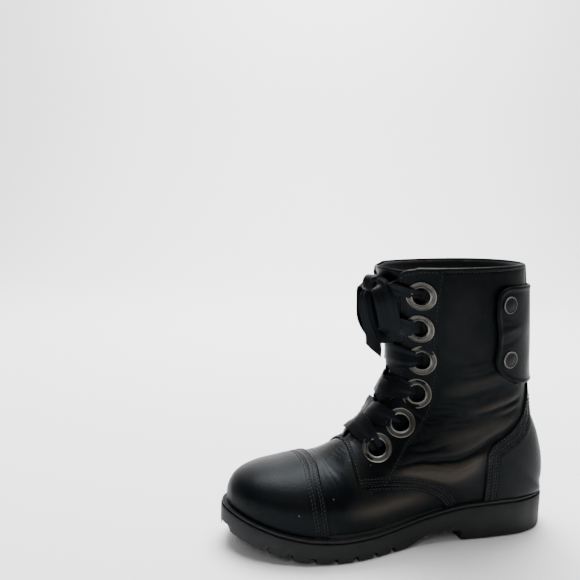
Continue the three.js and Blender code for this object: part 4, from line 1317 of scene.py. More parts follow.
# Courses of the bow's loops and ends, from the knot's centre, as in the frame.
BOW_ROUTES = {
    "lace_loop_lateral": [
        (0, 3, 0), (0.5, 10, 1.5), (0, 17, 0), (-3, 20.5, -10), (-7.5, 19, -23), (-10.5, 16, -34),
        (-10, 10.5, -39), (-7, 7, -31), (-3.5, 6.3, -20), (-1, 5.2, -11), (0, 2, -4),
    ],
    "lace_loop_medial": [
        (0, -3, 0), (1, -10, 1), (0.5, -17, -2), (-1, -20.5, -14), (-2.5, -21, -29), (-8, -19, -40),
        (-13.5, -14.5, -46), (-12, -10, -43), (-7, -8, -32), (-3.5, -6.5, -20), (-1.5, -5, -10), (0, -2, -4),
    ],
    "lace_end_lateral": [
        (3, 1.8, -5), (4.5, 2.1, -13), (1.5, 2, -24), (-2.5, 2, -36), (-5, 3, -50), (-5.3, 3.4, -56),
    ],
    "lace_end_medial": [
        (3.5, -2.3, -5), (5.3, -2.5, -13), (4, -3, -22), (-0.5, -4.5, -34), (-4, -5.5, -44),
        (-5.5, -7, -55),
    ],
}


def colour(code, alpha=1.0):
    """sRGB hex to linear."""
    code = code.lstrip("#")
    out = []
    for i in (0, 2, 4):
        c = int(code[i:i + 2], 16) / 255
        out.append(c / 12.92 if c <= 0.04045 else ((c + 0.055) / 1.055) ** 2.4)
    return (*out, alpha)


def hue(name, description, code):
    return bpy.props.FloatVectorProperty(
        name=name, description=description, subtype="COLOR", size=4, min=0, max=1, default=colour(code))


class BootLooks(bpy.types.PropertyGroup):
    """Sizes and colours of the boot's looks."""

    fold_depth: bpy.props.FloatProperty(
        name="Fold depth", description="How deep the leather's folds are, as a share", default=1.0,
        min=0.0, max=2.0)
    stitch_pitch: bpy.props.FloatProperty(
        name="Stitch pitch", description="Distance from one stitch to the next", default=0.003,
        min=0.001, unit="LENGTH")
    thread_width: bpy.props.FloatProperty(
        name="Thread width", description="Thickness of the thread", default=0.001, min=0.0001, unit="LENGTH")
    ribbon_width: bpy.props.FloatProperty(
        name="Ribbon width", description="Width of the flat lace", default=0.016, min=0.004, unit="LENGTH")
    ribbon_wall: bpy.props.FloatProperty(
        name="Ribbon thickness", description="Thickness of the flat lace", default=0.0007, min=0.0002,
        unit="LENGTH")
    leather_roughness: bpy.props.FloatProperty(
        name="Leather roughness", description="Gloss of the waxed leather", default=0.42, min=0.0, max=1.0,
        subtype="FACTOR")
    leather: hue("Leather", "Colour of the leather", "#040608")
    leather_light: hue("Leather, lighter", "Lighter clouds in the leather", "#090b0d")
    # Lighter colour on the raised folds: partly real wear of the ridges, partly a painted highlight that
    # brightens the lit bands.
    leather_wear_and_highlight: hue("Leather, worn", "Colour rubbed out on the ridges", "#38332e")
    dust: hue("Dust", "Colour of the dust", "#8d877f")
    lining: hue("Lining", "Colour of the lining", "#100f10")
    rubber: hue("Rubber", "Colour of the sole", "#151617")
    rubber_dusty: hue("Rubber, dusty", "Dusty clouds on the sole", "#232425")
    ribbon: hue("Ribbon", "Colour of the lace", "#040508")
    metal: hue("Metal", "Colour of the eyelets and studs", "#242321")
    metal_rubbed: hue("Metal, rubbed", "Rubbed places on the metal", "#6d6b66")
    stud: hue("Stud", "Colour of the strap's snap caps", "#18181a")
    thread: hue("Thread", "Colour of the stitches", "#1b1b1b")
    floor: hue("Floor", "Colour of the floor", "#fafafa")


# The photograph's camera, fitted to the sole and the shaft, in metres and radians from the heel's end.
CAMERA_EYE = (0.385097, 0.499743, 0.268040)
CAMERA_YAW = 3.42677789
CAMERA_PITCH = -0.120572362
CAMERA_ROLL = 0.0366721145
FOCAL_PIXELS = 669.070141
PHOTO_PIXELS = 580
SENSOR_MM = 36


class BOOT_OT_camera(bpy.types.Operator):
    """Places the camera at the photograph's view of the boot's outer side"""

    bl_idname = "boot.camera"
    bl_label = "Camera"

    def execute(self, context):
        eye = Vector(CAMERA_EYE) + Vector(SHIFT * MM)
        yaw, pitch, roll = CAMERA_YAW, CAMERA_PITCH, CAMERA_ROLL
        forward = Vector((math.sin(yaw) * math.cos(pitch), math.cos(yaw) * math.cos(pitch), math.sin(pitch)))
        level = forward.cross(Vector((0, 0, 1))).normalized()
        above = level.cross(forward)
        right = level * math.cos(roll) + above * math.sin(roll)
        up = above * math.cos(roll) - level * math.sin(roll)
        data = bpy.data.cameras.new("camera")
        data.lens = SENSOR_MM * FOCAL_PIXELS / PHOTO_PIXELS
        data.sensor_width = SENSOR_MM
        data.clip_start = 0.01
        camera = bpy.data.objects.new("camera", data)
        turn = Matrix((right, up, -forward)).transposed().to_4x4()
        camera.matrix_world = Matrix.Translation(eye) @ turn
        context.scene.collection.objects.link(camera)
        context.scene.camera = camera
        return {"FINISHED"}


class BOOT_OT_stage(bpy.types.Operator):
    """Lays a seamless pale sweep of paper and sets soft studio light"""

    bl_idname = "boot.stage"
    bl_label = "Floor and light"

    def execute(self, context):
        ahead = np.array([math.sin(CAMERA_YAW), math.cos(CAMERA_YAW), 0])
        aside = np.array([math.cos(CAMERA_YAW), -math.sin(CAMERA_YAW), 0])
        bend = np.linspace(0, math.pi / 2, 17)
        course = np.concatenate([
            [[-6.0, 0]], np.stack([1.5 + 0.7 * np.sin(bend), 0.7 * (1 - np.cos(bend))], -1), [[2.2, 4.0]],
        ])
        rows = np.array([ahead * u + np.array([0, 0, z - 0.0006]) for u, z in course])
        places = rows[:, None, :] + aside[None, None, :] * np.linspace(-6, 6, 3)[None, :, None]
        sweep = grid_mesh("paper_sweep", places)
        sweep.data.materials.append(material("paper", context))
        smooth_shade(sweep, 60)
        world = bpy.data.worlds.new("studio")
        world.use_nodes = True
        background = world.node_tree.nodes["Background"]
        background.inputs["Color"].default_value = (0.93, 0.97, 1, 1)
        background.inputs["Strength"].default_value = 0.12
        context.scene.world = world
        lamps = (
            ("top", (-0.15, -0.15, 1.5), (0, 0, 0.05), 1.0, 12, (1, 1, 1)),
            ("back", tuple(ahead * 0.9 + np.array([0, 0, 1.9])), tuple(ahead * 1.9 + np.array([0, 0, 0.2])),
             1.4, 120, (1, 1, 1)),
            ("front", (0.9, 1.3, 1.3), (0.05, 0, 0.05), 0.8, 5, (1, 0.99, 0.97)),
            ("floor", (0.1, -0.5, 2.3), (0.1, 0.2, 0), 1.8, 62, (1, 1, 1)),
        )
        for name, place, target, size, power, tint in lamps:
            light = bpy.data.lights.new(name, "AREA")
            light.size = size
            light.energy = power
            light.color = tint
            lamp = bpy.data.objects.new(name, light)
            lamp.location = place
            aim = Vector(target) - Vector(place)
            lamp.rotation_euler = aim.to_track_quat("-Z", "Y").to_euler()
            context.scene.collection.objects.link(lamp)
        return {"FINISHED"}


class BOOT_OT_bow(bpy.types.Operator):
    """Ties the ribbon's bow: knot, two loops and two short ends"""

    bl_idname = "boot.bow"
    bl_label = "Bow"

    def execute(self, context):
        looks = context.scene.boot_looks
        width = looks.ribbon_width / MM
        wall = looks.ribbon_wall / MM
        knot = self.knot(context)
        for name, route in BOW_ROUTES.items():
            points, length = smooth_course(np.array(route) + KNOT_CENTRE, 90)
            loop = "loop" in name
            outer = 1.0 if "lateral" in name else -1.0
            # A loop shows most of the ribbon's width; an end is folded in half along itself.
            broad = 0.81 * width if loop else 0.5 * width
            share = np.linspace(0, 1, len(points))
            narrow = np.minimum(share, 1 - share) if loop else share
            opened = (0.72 if outer > 0 else 0.35) if loop else 0.5
            widths = broad * (0.6 + opened * np.clip(narrow / 0.16, 0, 1))
            pleats = 0.7 * np.exp(-(narrow / 0.1) ** 2) + (0.3 if loop else 0.1)
            along = unit(np.gradient(points, axis=0))
            facing_out = np.array([0.25, outer, 0.1]) if loop else np.array([0.5, 1.0, 0.0])
            across = np.cross(along, np.broadcast_to(unit(facing_out), along.shape))
            piece = ribbon_mesh(name + "_ribbon", points, across, widths, pleats, wall, context, 0.7 + outer,
                                0.0 if loop else 2.0, 0.0 if loop else -9.0)
            stand_for(piece, [name])
            path = in_frame(points)
        return {"FINISHED"}

    def knot(self, context):
        """The tied turns, as one lump wrapped by a band."""
        deselect()
        bpy.ops.mesh.primitive_uv_sphere_add(segments=48, ring_count=28, radius=MM, location=(0, 0, 0))
        lump = context.object
        lump.name = "lace_knot_turns"
        p = corner_places(lump) / MM
        angle = np.arctan2(p[:, 2], p[:, 1])
        pleat = 0.8 * np.sin(3 * angle + 4 * p[:, 0]) + 0.5 * np.sin(5 * p[:, 1] + 2.0 * p[:, 2])
        band = 1.1 * np.exp(-((p[:, 1] - 0.15 * p[:, 2]) / 0.42) ** 2)
        size = np.array(KNOT_SIZE) * 0.93
        p = p * size + p * (pleat + band)[:, None]
        lump.data.vertices.foreach_set("co", in_frame(p + KNOT_CENTRE).reshape(-1))
        lump.data.update()
        lump.data.materials.append(material("ribbon", context))
        smooth_shade(lump, 60)
        stand_for(lump, ["lace_knot"])
        return lump


class BOOT_OT_crossings(bpy.types.Operator):
    """Threads the ribbon from side to side: out under one facing and down into the other's eyelet"""

    bl_idname = "boot.crossings"
    bl_label = "Lacing"

    def execute(self, context):
        for i in range(EYELET_COUNT - 1):
            self.run(context, f"lace_inner_{i + 1}", i + 1, i, 1, 0.0)
            self.run(context, f"lace_outer_{i + 1}", i + 1, i, -1, 1.3)
        self.lowest(context)
        for sign in (1, -1):
            self.to_knot(context, sign)
        return {"FINISHED"}

    def facing_arc(self, order, sign):
        return float(arc_at(order, sign, facing(order, sign)))

    def laid(self, orders, arcs, lift):
        """Places over the upper at signed distances from the ridge."""
        points = np.zeros((len(arcs), 3))
        normals = np.zeros((len(arcs), 3))
        for sign in (1, -1):
            mask = arcs * sign >= 0
            points[mask], normals[mask] = on_upper(orders[mask], sign, np.abs(arcs[mask]), lift[mask])
        return points, normals

    def ribbon(self, context, name, points, normals, widths, pleats, seed):
        looks = context.scene.boot_looks
        along = unit(np.gradient(points, axis=0))
        share = np.linspace(0, 1, len(points))
        tilt = 0.28 * np.sin(5.5 * share + seed) * np.sin(np.pi * share)
        across = unit(np.cross(along, normals))
        across = across + normals * tilt[:, None]
        piece = ribbon_mesh(name, points, across, widths, pleats, looks.ribbon_wall / MM, context, seed)
        stand_for(piece, ["lace_crossings"])

    def run(self, context, name, low, high, sign, over):
        """From under the facing beside one eyelet, up and across to the next eyelet of the other side."""
        width = context.scene.boot_looks.ribbon_width / MM
        first, end_arc = eyelets[sign][low][0], eyelets[-sign][high][1]
        last = eyelets[-sign][high][0]
        near = self.facing_arc(first, sign)
        far = self.facing_arc(last, -sign)
        landing = high > 0
        reach = end_arc if landing else far + 7
        t = np.linspace(0, 1, 64)
        w = -(near + 7) + (near + 7 + reach) * t
        orders = first + (last - first) * (0.2 + 0.8 * t)
        bulge = 2.2 if sign > 0 and high > 1 else 0.0
        knots = [(-near - 7, -1.2), (-near, 0.4), (-near + 4, 1.6), (0, 2.4 + over), (far - 3, 3.2 + over)]
        if landing:
            knots += [(far + 2.5, 4.3 + 0.4 * over), (reach - 11.5, 4.6 + bulge), (reach - 8.5, 4.3),
                      (reach - 5.5, 2.6), (reach, -1.0)]
        else:
            knots += [(far, 0.4), (far + 7, -1.2)]
        rise = Curve([a for a, b in knots], [b for a, b in knots])
        arcs = w * -sign
        points, normals = self.laid(orders, arcs, rise(w))
        gap = reach - w if landing else np.full(len(w), 40.0)
        widths = width * np.interp(gap, [0, 6, 9, 15, 21], [0.74, 0.76, 0.86, 1.04, 1.12])
        widths = widths * np.interp(w + near + 7, [0, 12], [0.8, 1.0])
        pleats = 0.16 + 0.22 * np.exp(-(gap / 11.0) ** 2)
        self.ribbon(context, name, points, normals, widths, pleats, 1.7 * high + (2.1 if sign > 0 else 0))

    def lowest(self, context):
        """The bar between the two lowest eyelets."""
        width = context.scene.boot_looks.ribbon_width / MM
        order, reach, _, _ = eyelets[1][EYELET_COUNT - 1]
        t = np.linspace(0, 1, 64)
        w = reach * (1 - 2 * t)
        edge = reach - np.abs(w)
        lift = np.interp(edge, [0, 5.5, 8.5, 11.5, 18, reach], [-1.0, 2.6, 4.3, 4.7, 5.2, 6.0])
        points, normals = self.laid(np.full(len(t), order), w, lift)
        widths = width * np.interp(edge, [0, 6, 9, 15, 21], [0.74, 0.76, 0.86, 1.06, 1.14])
        pleats = 0.2 + 0.22 * np.exp(-(edge / 11.0) ** 2)
        self.ribbon(context, "lace_lowest", points, normals, widths, pleats, 0.4)

    def to_knot(self, context, sign):
        width = context.scene.boot_looks.ribbon_width / MM
        order, arc, _, _ = eyelets[sign][0]
        t = np.linspace(0, 1, 44)
        arcs = sign * (arc * (1 - t) + 3.0 * t)
        edge = arc - np.abs(arcs)
        lift = np.interp(edge, [0, 5.5, 8.5, 11.5, arc], [-1.0, 2.6, 4.2, 4.6, 6.5])
        points, normals = self.laid(np.full(len(t), order), arcs, lift)
        goal = KNOT_CENTRE + np.array([-1.0, 4.0 * sign, 0.5])
        points = points + (goal - points[-1]) * (t[:, None] ** 1.5)
        widths = width * np.interp(edge, [0, 6, 12, arc * 0.6, arc], [0.5, 0.52, 0.58, 0.6, 0.42])
        pleats = 0.3 + 0.15 * np.cos(2 * math.pi * t)
        self.ribbon(context, f"lace_to_knot_{'outer' if sign > 0 else 'inner'}", points, normals, widths,
                    pleats, 1.2)


def lofted(name, loops, context, look, closed_rows=False):
    """Skin over a row of loops with as many corners each, its ends closed by a face."""
    rows, count = loops.shape[:2]
    index = np.arange(rows * count).reshape(rows, count)
    faces = []
    turns = rows if closed_rows else rows - 1
    for i in range(turns):
        a = index[i]
        b = index[(i + 1) % rows]
        for j in range(count):
            k = (j + 1) % count
            faces.append((a[j], a[k], b[k], b[j]))
    if not closed_rows:
        faces.append(tuple(index[0][::-1]))
        faces.append(tuple(index[-1]))
    mesh = bpy.data.meshes.new(name)
    mesh.from_pydata(in_frame(loops.reshape(-1, 3)).tolist(), [], [tuple(int(i) for i in f) for f in faces])
    piece = bpy.data.objects.new(name, mesh)
    context.scene.collection.objects.link(piece)
    mesh.materials.append(look)
    edit_all(piece, lambda: bpy.ops.mesh.remove_doubles(threshold=0.00002),
             lambda: bpy.ops.mesh.normals_make_consistent(inside=False))
    return piece


def stations(count, breaks=()):
    x = SOLE_LENGTH * (1 - np.cos(np.pi * np.arange(count + 1) / count)) / 2
    x[0] = 0.02
    x[-1] = SOLE_LENGTH - 0.02
    for at in breaks:
        x = np.concatenate([x[np.abs(x - at) > 0.8], [at - 0.15, at + 0.15]])
    return np.sort(x)


class BOOT_OT_sole(bpy.types.Operator):
    """Moulds the lugged rubber sole"""

    bl_idname = "boot.sole"
    bl_label = "Sole"

    def execute(self, context):
        x = stations(190, (HEEL_BREAST, TREAD_START))
        slope = np.clip((TREAD_START + 3 - x) / 20, 0, 1)
        under = np.where(x < HEEL_BREAST, 0.0, grow(spring(x), sole_under(x), slope))
        top = sole_top(x) - 0.3
        loops = []
        for i, at in enumerate(x):
            left = float(half_width(at, 0, 1))
            right = -float(half_width(at, 0, -1))
            b = min(1.3, (left - right) / 3.2)
            low, high = float(under[i]), float(top[i])
            c = 0.7 * b
            loops.append([
                (at, left - b, low), (at, left - 0.35 * b, low + 0.3 * b), (at, left, low + b),
                (at, left, (low + high) / 2), (at, left, high - c),
                (at, left - 0.4 * c, high - 0.3 * c),
                (at, left - c, high), (at, right + c, high), (at, right + 0.4 * c, high - 0.3 * c),
                (at, right, high - c), (at, right, (low + high) / 2), (at, right, low + b),
                (at, right + 0.35 * b, low + 0.3 * b), (at, right + b, low),
            ])
        sole = lofted("sole_moulded", np.array(loops), context, material("rubber", context))
        cutter = self.grooves(context)
        apply_modifier(sole, "BOOLEAN", operation="DIFFERENCE", object=cutter, solver="EXACT")
        bpy.data.objects.remove(cutter, do_unlink=True)
        smooth_shade(sole, 40)
        stand_for(sole, ["outsole"])
        return {"FINISHED"}

    def grooves(self, context):
        """All the grooves between the lugs, as one cutter."""
        reach = 0.24 * BALL_WIDTH
        boxes = []
        x = TREAD_START + LUG_PITCH
        while x < 0.97 * SOLE_LENGTH:
            base = float(spring(x))
            boxes.append((x, reach, 214.0, base))
            boxes.append((x + LUG_PITCH / 4, -214.0, -reach, float(spring(x + LUG_PITCH / 4))))
            boxes.append((x + LUG_PITCH / 2, 5 - reach, reach - 5, float(spring(x + LUG_PITCH / 2))))
            x += LUG_PITCH
        heel = []
        x = LUG_PITCH
        while x < HEEL_BREAST - LUG_GROOVE:
            heel.append((x, 0.1 * BALL_WIDTH, float(half_width(x, 0, 1)) - 6.0, 0.0))
            heel.append((x, 6.0 - float(half_width(x, 0, -1)), -0.1 * BALL_WIDTH, 0.0))
            x += LUG_PITCH
        deselect()
        made = []
        for group, depth in ((boxes, TREAD_DEPTH), (heel, 0.75 * TREAD_DEPTH)):
            for at, y0, y1, base in group:
                bpy.ops.mesh.primitive_cube_add(size=1, location=(0, 0, 0))
                box = context.object
                centre = Vector(in_frame((at, (y0 + y1) / 2, base)))
                box.data.transform(Matrix.Translation(centre) @ Matrix.Diagonal(
                    (LUG_GROOVE * MM, (y1 - y0) * MM, 2 * depth * MM, 1)))
                made.append(box)
        deselect()
        for box in made:
            box.select_set(True)
        context.view_layer.objects.active = made[0]
        bpy.ops.object.join()
        return context.object


def ring_rows(profile, count=260):
    """Loops round the sole's outline: each corner of the profile is an inset and a height over the seat."""
    turn = 2 * math.pi * np.arange(count) / count
    rows = []
    for angle in turn:
        side = 1 if angle <= math.pi else -1
        t = angle if angle <= math.pi else 2 * math.pi - angle
        row = []
        for inset, height in profile:
            x = inset + (SOLE_LENGTH - 2 * inset) * (1 - math.cos(t)) / 2
            y = side * float(half_width(x, inset, side))
            row.append((x, y, float(seat(x)) + height))
        rows.append(row)
    return np.array(rows)


class BOOT_OT_welt(bpy.types.Operator):
    """Lays the welt round the foot of the upper, with its stitched ledge"""

    bl_idname = "boot.welt"
    bl_label = "Welt"

    def execute(self, context):
        profile = [
            (11.8, -0.15), (6.4, -0.15), (6.3, 0.9), (5.9, 1.5), (5.3, 1.75), (4.75, 1.5), (4.4, 0.9),
            (4.3, 0.0), (4.15, -0.9), (3.6, -1.15), (2.8, -1.15), (1.7, -0.95), (1.2, -1.05), (0.85, -1.45),
            (0.8, -2.0), (1.0, -2.6), (1.9, -2.95), (2.1, -3.4), (2.1, -3.8), (11.8, -3.8),
        ]
        rows = ring_rows(profile, 320)
        welt = lofted("welt_band", rows, context, material("rubber", context), True)
        smooth_shade(welt, 45)
        stand_for(welt, ["welt"])
        thread = ring_rows([(2.7, -1.05)], 320)[:, 0]
        thread = np.vstack([thread, thread[:1]])
        stitch_rows.append((thread, np.broadcast_to(np.array([0, 0, 1.0]), thread.shape)))
        return {"FINISHED"}


class BOOT_OT_insole(bpy.types.Operator):
    """Lays the footbed inside"""

    bl_idname = "boot.insole"
    bl_label = "Footbed"

    def execute(self, context):
        x = stations(80)
        inset = WELT_SHELF + LEATHER + 3.4
        loops = []
        for at in x:
            at = inset + (SOLE_LENGTH - 2 * inset) * at / SOLE_LENGTH
            left = float(half_width(at, inset, 1))
            right = -float(half_width(at, inset, -1))
            low = float(seat(at)) + 0.3
            b = min(1.0, (left - right) / 3.2)
            loops.append([
                (at, left, low), (at, left, low + 2.2), (at, left - b, low + 3),
                (at, right + b, low + 3), (at, right, low + 2.2), (at, right, low),
            ])
        bed = lofted("footbed", np.array(loops), context, material("lining", context))
        smooth_shade(bed, 40)
        stand_for(bed, ["insole"])
        return {"FINISHED"}


class BOOT_OT_vamp(bpy.types.Operator):
    """Lays the vamp, from under the toe cap to under the quarters"""

    bl_idname = "boot.vamp"
    bl_label = "Vamp"

    def execute(self, context):
        panel = vamp_panel()
        rise = relief(panel, context.scene.boot_looks.fold_depth, FOREFOOT_FOLDS)
        panel.lift(rise)
        sink_foot(panel)
        leather_piece("vamp", panel, LEATHER, ["upper"],
                      [material("leather", context), material("lining", context)], rise)
        return {"FINISHED"}


def sink_foot(panel):
    """Lets the lowest rows down behind the welt."""
    low = np.clip((np.abs(panel.signed_phase) - 1.93) / 0.07, 0, 1)
    foot = low * np.clip((12.8 - panel.order) / 0.5, 0, 1)
    panel.place = panel.place - foot[..., None] * np.array([0, 0, 1.6])


class BOOT_OT_quarters(bpy.types.Operator):
    """Lays the two quarters, from the vamp's seam up to the collar"""

    bl_idname = "boot.quarters"
    bl_label = "Quarters"

    def execute(self, context):
        looks = context.scene.boot_looks
        for sign, name, cells in ((1, "quarter_outer", (290, 160)), (-1, "quarter_inner", (230, 130))):
            panel = quarter_panel(sign, *cells)
            rise = relief(panel, looks.fold_depth)
            border = panel.border
            corner = int(np.argmin(np.abs(border[:, 2] - QUARTER_CORNER[1] * SHAFT_HEIGHT) + np.abs(
                border[:, 0] - QUARTER_CORNER[0] * SOLE_LENGTH) * 2))
            start = panel.distance("start")
            upright = panel.distance("upright", border[:corner + 1])
            panel.distance("lower", border[corner:])
            quarter_borders[sign] = (border[:corner + 1], border[corner:])
            facing_edge = panel.distance("left")
            rim = panel.distance("end")
            edge = (rolled_edge(start, 1.3, 1.2) + rolled_edge(facing_edge, 1.3, 1.3)
                    + rolled_edge(rim, 1.8, 1.7))
            puff = (puffed(start) + 0.3 * np.exp(-((rim - 1.8) / 1.4) ** 2)
                    + panel.groove("lower", QUARTER_ROWS) * (upright > 2) + panel.groove("upright", (2.6,))
                    + panel.groove("end", (3.4,), 0.35))
            calm = np.clip((start - 9) / 7, 0.12, 1) * np.clip(rim / 14, 0.15, 1)
            panel.lift(rise * calm + edge + puff)
            panel.seam("lower", QUARTER_ROWS, (upright, 2.2))
            panel.seam("upright", (2.6,), (panel.distance("lower"), 2.4))
            panel.seam("end", (3.4,), (facing_edge, 3.0))
            sink_foot(panel)
            leather_piece(name, panel, LEATHER + QUARTER_OUT, ["upper"],
                          [material("leather", context), material("lining", context)], rise * calm,
                          holes=eyelet_axes(sign))
        return {"FINISHED"}


class BOOT_OT_toe_cap(bpy.types.Operator):
    """Lays the plain toe cap"""

    bl_idname = "boot.toe_cap"
    bl_label = "Toe cap"

    def execute(self, context):
        panel = cap_panel()
        rise = relief(panel, 0.35 * context.scene.boot_looks.fold_depth)
        end = panel.distance("end")
        panel.lift(rise + rolled_edge(end, 1.5, 1.7) + puffed(end)
                   + 0.25 * np.exp(-((end - 6.4) / 1.6) ** 2) + panel.groove("end", PAIRED_ROWS))
        panel.seam("end", PAIRED_ROWS)
        sink_foot(panel)
        leather_piece("toe_cap_leather", panel, 1.5, ["toe_cap"],
                      [material("leather", context)], rise, close=True)
        return {"FINISHED"}


class BOOT_OT_counter(bpy.types.Operator):
    """Lays the heel counter with its back stay"""

    bl_idname = "boot.counter"
    bl_label = "Heel counter"

    def execute(self, context):
        for sign, name in ((1, "counter_outer"), (-1, "counter_inner")):
            panel = counter_panel(sign)
            rise = 0.35 * relief(panel, context.scene.boot_looks.fold_depth)
            left = panel.distance("left")
            fold = fold_field(panel.base[..., 0], panel.base[..., 2], COUNTER_FOLDS)
            below = COUNTER_ROWS_TOP - panel.base[..., 2]
            panel.lift(rise + fold + rolled_edge(left, 1.4, 1.6)
                       + rolled_edge(panel.distance("end"), 1.2, 1.3)
                       + puffed(left) + panel.groove("left", PAIRED_ROWS) * np.clip(below / 12, 0, 1))
            panel.seam("left", PAIRED_ROWS, (below, 0))
            sink_foot(panel)
            leather_piece(name, panel, 1.3, ["heel_counter"], [material("leather", context)],
                          rise, close=True)
        return {"FINISHED"}


class BOOT_OT_eyestays(bpy.types.Operator):
    """Lays the eyelet facings"""

    bl_idname = "boot.eyestays"
    bl_label = "Eyestays"

    def execute(self, context):
        sides = ((1, "facing_outer", "eyestay_lateral"), (-1, "facing_inner", "eyestay_medial"))
        for sign, name, node in sides:
            panel = stay_panel(sign, 210, 60)
            rise = 0.5 * relief(panel, context.scene.boot_looks.fold_depth)
            left = panel.distance("left")
            right = panel.distance("right")
            edge = (rolled_edge(left, 1.3, 1.1) + rolled_edge(right, 1.1, 1.05)
                    + rolled_edge(panel.distance("start"), 1.0, 1.0)
                    + rolled_edge(panel.distance("end"), 1.3, 1.2))
            border = quarter_borders[sign]
            upright = panel.distance("upright", border[0])
            lower = panel.distance("lower", border[1])
            panel.lift(rise + edge + panel.groove("right", (2.3,)) * (lower > 9)
                       + panel.groove("left", (3.0,)) + panel.groove("lower", QUARTER_ROWS) * (upright > 2)
                       + panel.groove("upright", (2.6,)))
            panel.seam("lower", QUARTER_ROWS, (upright, 2.2))
            panel.seam("upright", (2.6,), (lower, 2.4))
            panel.seam("right", (2.3,), (lower, 10.0))
            panel.seam("left", (3.0,))
            panel.seam("end", (3.0,), (np.minimum(left, right), 3.0))
            leather_piece(name, panel, 1.1, [node], [material("leather", context)], rise,
                          holes=eyelet_axes(sign))
        return {"FINISHED"}


class BOOT_OT_tongue(bpy.types.Operator):
    """Lays the tongue behind the facings"""

    bl_idname = "boot.tongue"
    bl_label = "Tongue"

    def execute(self, context):
        panel = tongue_panel()
        rise = 0.5 * relief(panel, context.scene.boot_looks.fold_depth)
        panel.lift(rise + rolled_edge(panel.distance("end"), 2.0, 1.6))
        leather_piece("tongue_leather", panel, 2.2, ["tongue"],
                      [material("leather", context), material("lining", context)], rise)
        return {"FINISHED"}


class BOOT_OT_strap(bpy.types.Operator):
    """Lays the strap round the back of the shaft"""

    bl_idname = "boot.strap"
    bl_label = "Back strap"

    def execute(self, context):
        panel = strap_panel()
        rim = np.minimum.reduce([panel.distance(k) for k in ("start", "end", "left", "right")])
        x = panel.base[..., 0]
        z = panel.base[..., 2]
        curl = 0.5 * np.exp(-((rim - 1.6) / 1.5) ** 2)
        rise = fold_field(x, z, STRAP_FOLDS) + 0.15 * wander(11, x + panel.base[..., 1], z, 30.0)
        panel.lift(rolled_edge(rim, 1.3, 1.9) + curl + rise)
        leather_piece("back_strap_leather", panel, 1.8, ["back_strap"],
                      [material("leather", context)], rise)
        return {"FINISHED"}


class BOOT_OT_eyelets(bpy.types.Operator):
    """Sets the twelve dished eyelet rings"""

    bl_idname = "boot.eyelets"
    bl_label = "Eyelets"

    def execute(self, context):
        profile = [
            (EYELET_HOLE, -3.4), (7.6, -3.4), (7.8, -0.8), (11.5, -0.7), (EYELET_RADIUS, -0.3),
            (EYELET_RADIUS, 0.35), (11.8, 0.7), (11.5, 0.85), (11.2, 0.72), (11.05, 0.35), (10.2, 0.3),
            (9.2, 0.32), (8.4, 0.4), (8.1, 0.7), (7.85, 0.98), (7.5, 1.05), (7.15, 0.85), (7.0, 0.3),
            (6.95, -0.8), (EYELET_HOLE, -3.4),
        ]
        for sign, side in ((1, "lateral"), (-1, "medial")):
            for i, (place, normal) in enumerate(eyelet_axes(sign)):
                ring = turned(f"ring_{side}_{i + 1}", profile, 56, place + normal * STAY_OUT, normal,
                              lambda radius, height: 0.8 * (height > 0.66))
                ring.data.materials.append(material("metal", context))
                stand_for(ring, [f"eyelet_{side}_{i + 1}"])
        return {"FINISHED"}


def strap_spot(share_x, share_z, sign):
    """The upper's place that lies at an x and a z on one flank, and its direction out."""
    orders = np.linspace(12, LAST, 281)[:, None]
    phases = np.linspace(0.8, 1.9, 221)[None, :]
    p = section(orders, sign, phases)
    miss = np.hypot(p[..., 0] - share_x * SOLE_LENGTH, p[..., 2] - share_z * SHAFT_HEIGHT)
    i, j = np.unravel_index(int(miss.argmin()), miss.shape)
    return p[i, j], section_normal(orders[i, 0], sign, phases[0, j])


class BOOT_OT_studs(bpy.types.Operator):
    """Sets the four domed studs of the strap"""

    bl_idname = "boot.studs"
    bl_label = "Studs"

    def execute(self, context):
        profile = [
            (0.01, -1.8), (2.0, -1.8), (2.0, -0.2), (6.8, -0.2), (7.0, 0.1), (6.98, 0.6), (6.7, 0.95),
            (6.3, 1.0), (6.0, 0.85), (4.2, 1.15), (2.2, 1.4), (0.01, 1.45),
        ]
        number = 1
        for sign in (1, -1):
            for share_x, share_z in STUD_SPOTS:
                place, normal = strap_spot(share_x, share_z, sign)
                stud = turned(f"stud_cap_{number}", profile, 48, place + normal * STRAP_OUT, normal,
                              lambda radius, height: 0.9 * ((radius > 6.2) & (height > 0.5)))
                stud.data.materials.append(material("stud", context))
                stand_for(stud, [f"strap_stud_{number}"])
                number += 1
        return {"FINISHED"}


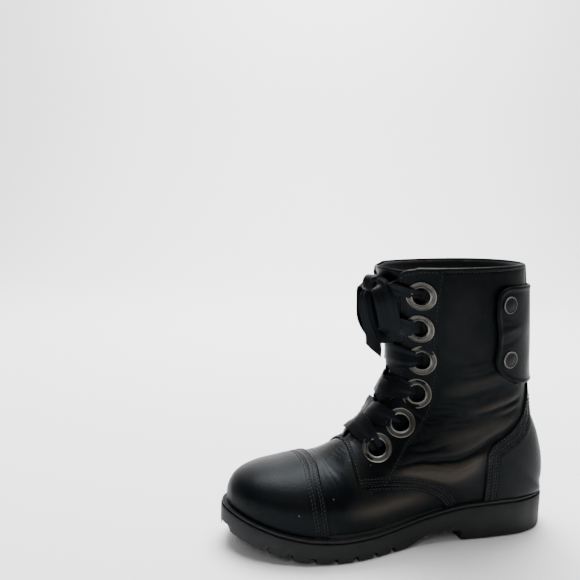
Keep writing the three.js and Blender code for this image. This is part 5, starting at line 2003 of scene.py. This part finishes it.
class BOOT_OT_stitching(bpy.types.Operator):
    """Sews the rows of stitches that the panels asked for"""

    bl_idname = "boot.stitching"
    bl_label = "Stitching"

    def execute(self, context):
        looks = context.scene.boot_looks
        width = looks.thread_width / MM
        pitch = looks.stitch_pitch / MM
        deselect()
        bpy.ops.mesh.primitive_uv_sphere_add(segments=6, ring_count=4, radius=0.5)
        seed = context.object
        base = np.array([v.co for v in seed.data.vertices])
        faces = [tuple(p.vertices) for p in seed.data.polygons]
        bpy.data.objects.remove(seed, do_unlink=True)
        verts = []
        polys = []
        for points, normals in stitch_rows:
            lengths = walked(points)
            at = np.arange(pitch / 2, lengths[-1] - pitch / 2, pitch)
            if not len(at):
                continue
            middle, ahead, out = [
                np.stack([np.interp(at + shift, lengths, source[:, k]) for k in range(3)], -1)
                for source, shift in ((points, 0.0), (points, 0.6), (normals, 0.0))]
            out = unit(out)
            along = unit(ahead - middle)
            side = unit(np.cross(out, along))
            for p, n, a, s in zip(middle, out, along, side):
                turn = np.stack([s * width, n * width * 0.8, a * pitch * 0.78], 0)
                first = len(verts)
                verts.extend((base @ turn + p + n * 0.12).tolist())
                polys.extend(tuple(first + i for i in face) for face in faces)
        mesh = bpy.data.meshes.new("stitches")
        mesh.from_pydata(in_frame(verts).tolist(), [], polys)
        piece = bpy.data.objects.new("stitches", mesh)
        context.scene.collection.objects.link(piece)
        mesh.materials.append(material("thread", context))
        edit_all(piece, lambda: bpy.ops.mesh.normals_make_consistent(inside=False))
        smooth_shade(piece, 80)
        stand_for(piece, [])
        return {"FINISHED"}


class BOOT_PT_panel(bpy.types.Panel):
    """Lists the boot's pieces"""

    bl_idname = "BOOT_PT_panel"
    bl_label = "Combat Boot"
    bl_space_type = "VIEW_3D"
    bl_region_type = "UI"
    bl_category = "Boot"

    def draw(self, context):
        looks = context.scene.boot_looks
        for name in BootLooks.__annotations__:
            self.layout.prop(looks, name)
        for operator in making_order:
            self.layout.operator(operator.bl_idname)


making_order = (
    BOOT_OT_camera, BOOT_OT_stage, BOOT_OT_bow, BOOT_OT_crossings, BOOT_OT_sole, BOOT_OT_welt,
    BOOT_OT_insole, BOOT_OT_vamp, BOOT_OT_quarters, BOOT_OT_toe_cap, BOOT_OT_counter,
    BOOT_OT_eyestays, BOOT_OT_tongue, BOOT_OT_strap, BOOT_OT_eyelets, BOOT_OT_studs,
    BOOT_OT_stitching,
)


def register():
    bpy.utils.register_class(BootLooks)
    bpy.types.Scene.boot_looks = bpy.props.PointerProperty(type=BootLooks)
    for operator in making_order:
        bpy.utils.register_class(operator)
    bpy.utils.register_class(BOOT_PT_panel)


def unregister():
    bpy.utils.unregister_class(BOOT_PT_panel)
    for operator in reversed(making_order):
        bpy.utils.unregister_class(operator)
    del bpy.types.Scene.boot_looks
    bpy.utils.unregister_class(BootLooks)


def main():
    register()
    for operator in making_order:
        group, name = operator.bl_idname.split(".")
        getattr(getattr(bpy.ops, group), name)()


if __name__ == "__main__":
    main()
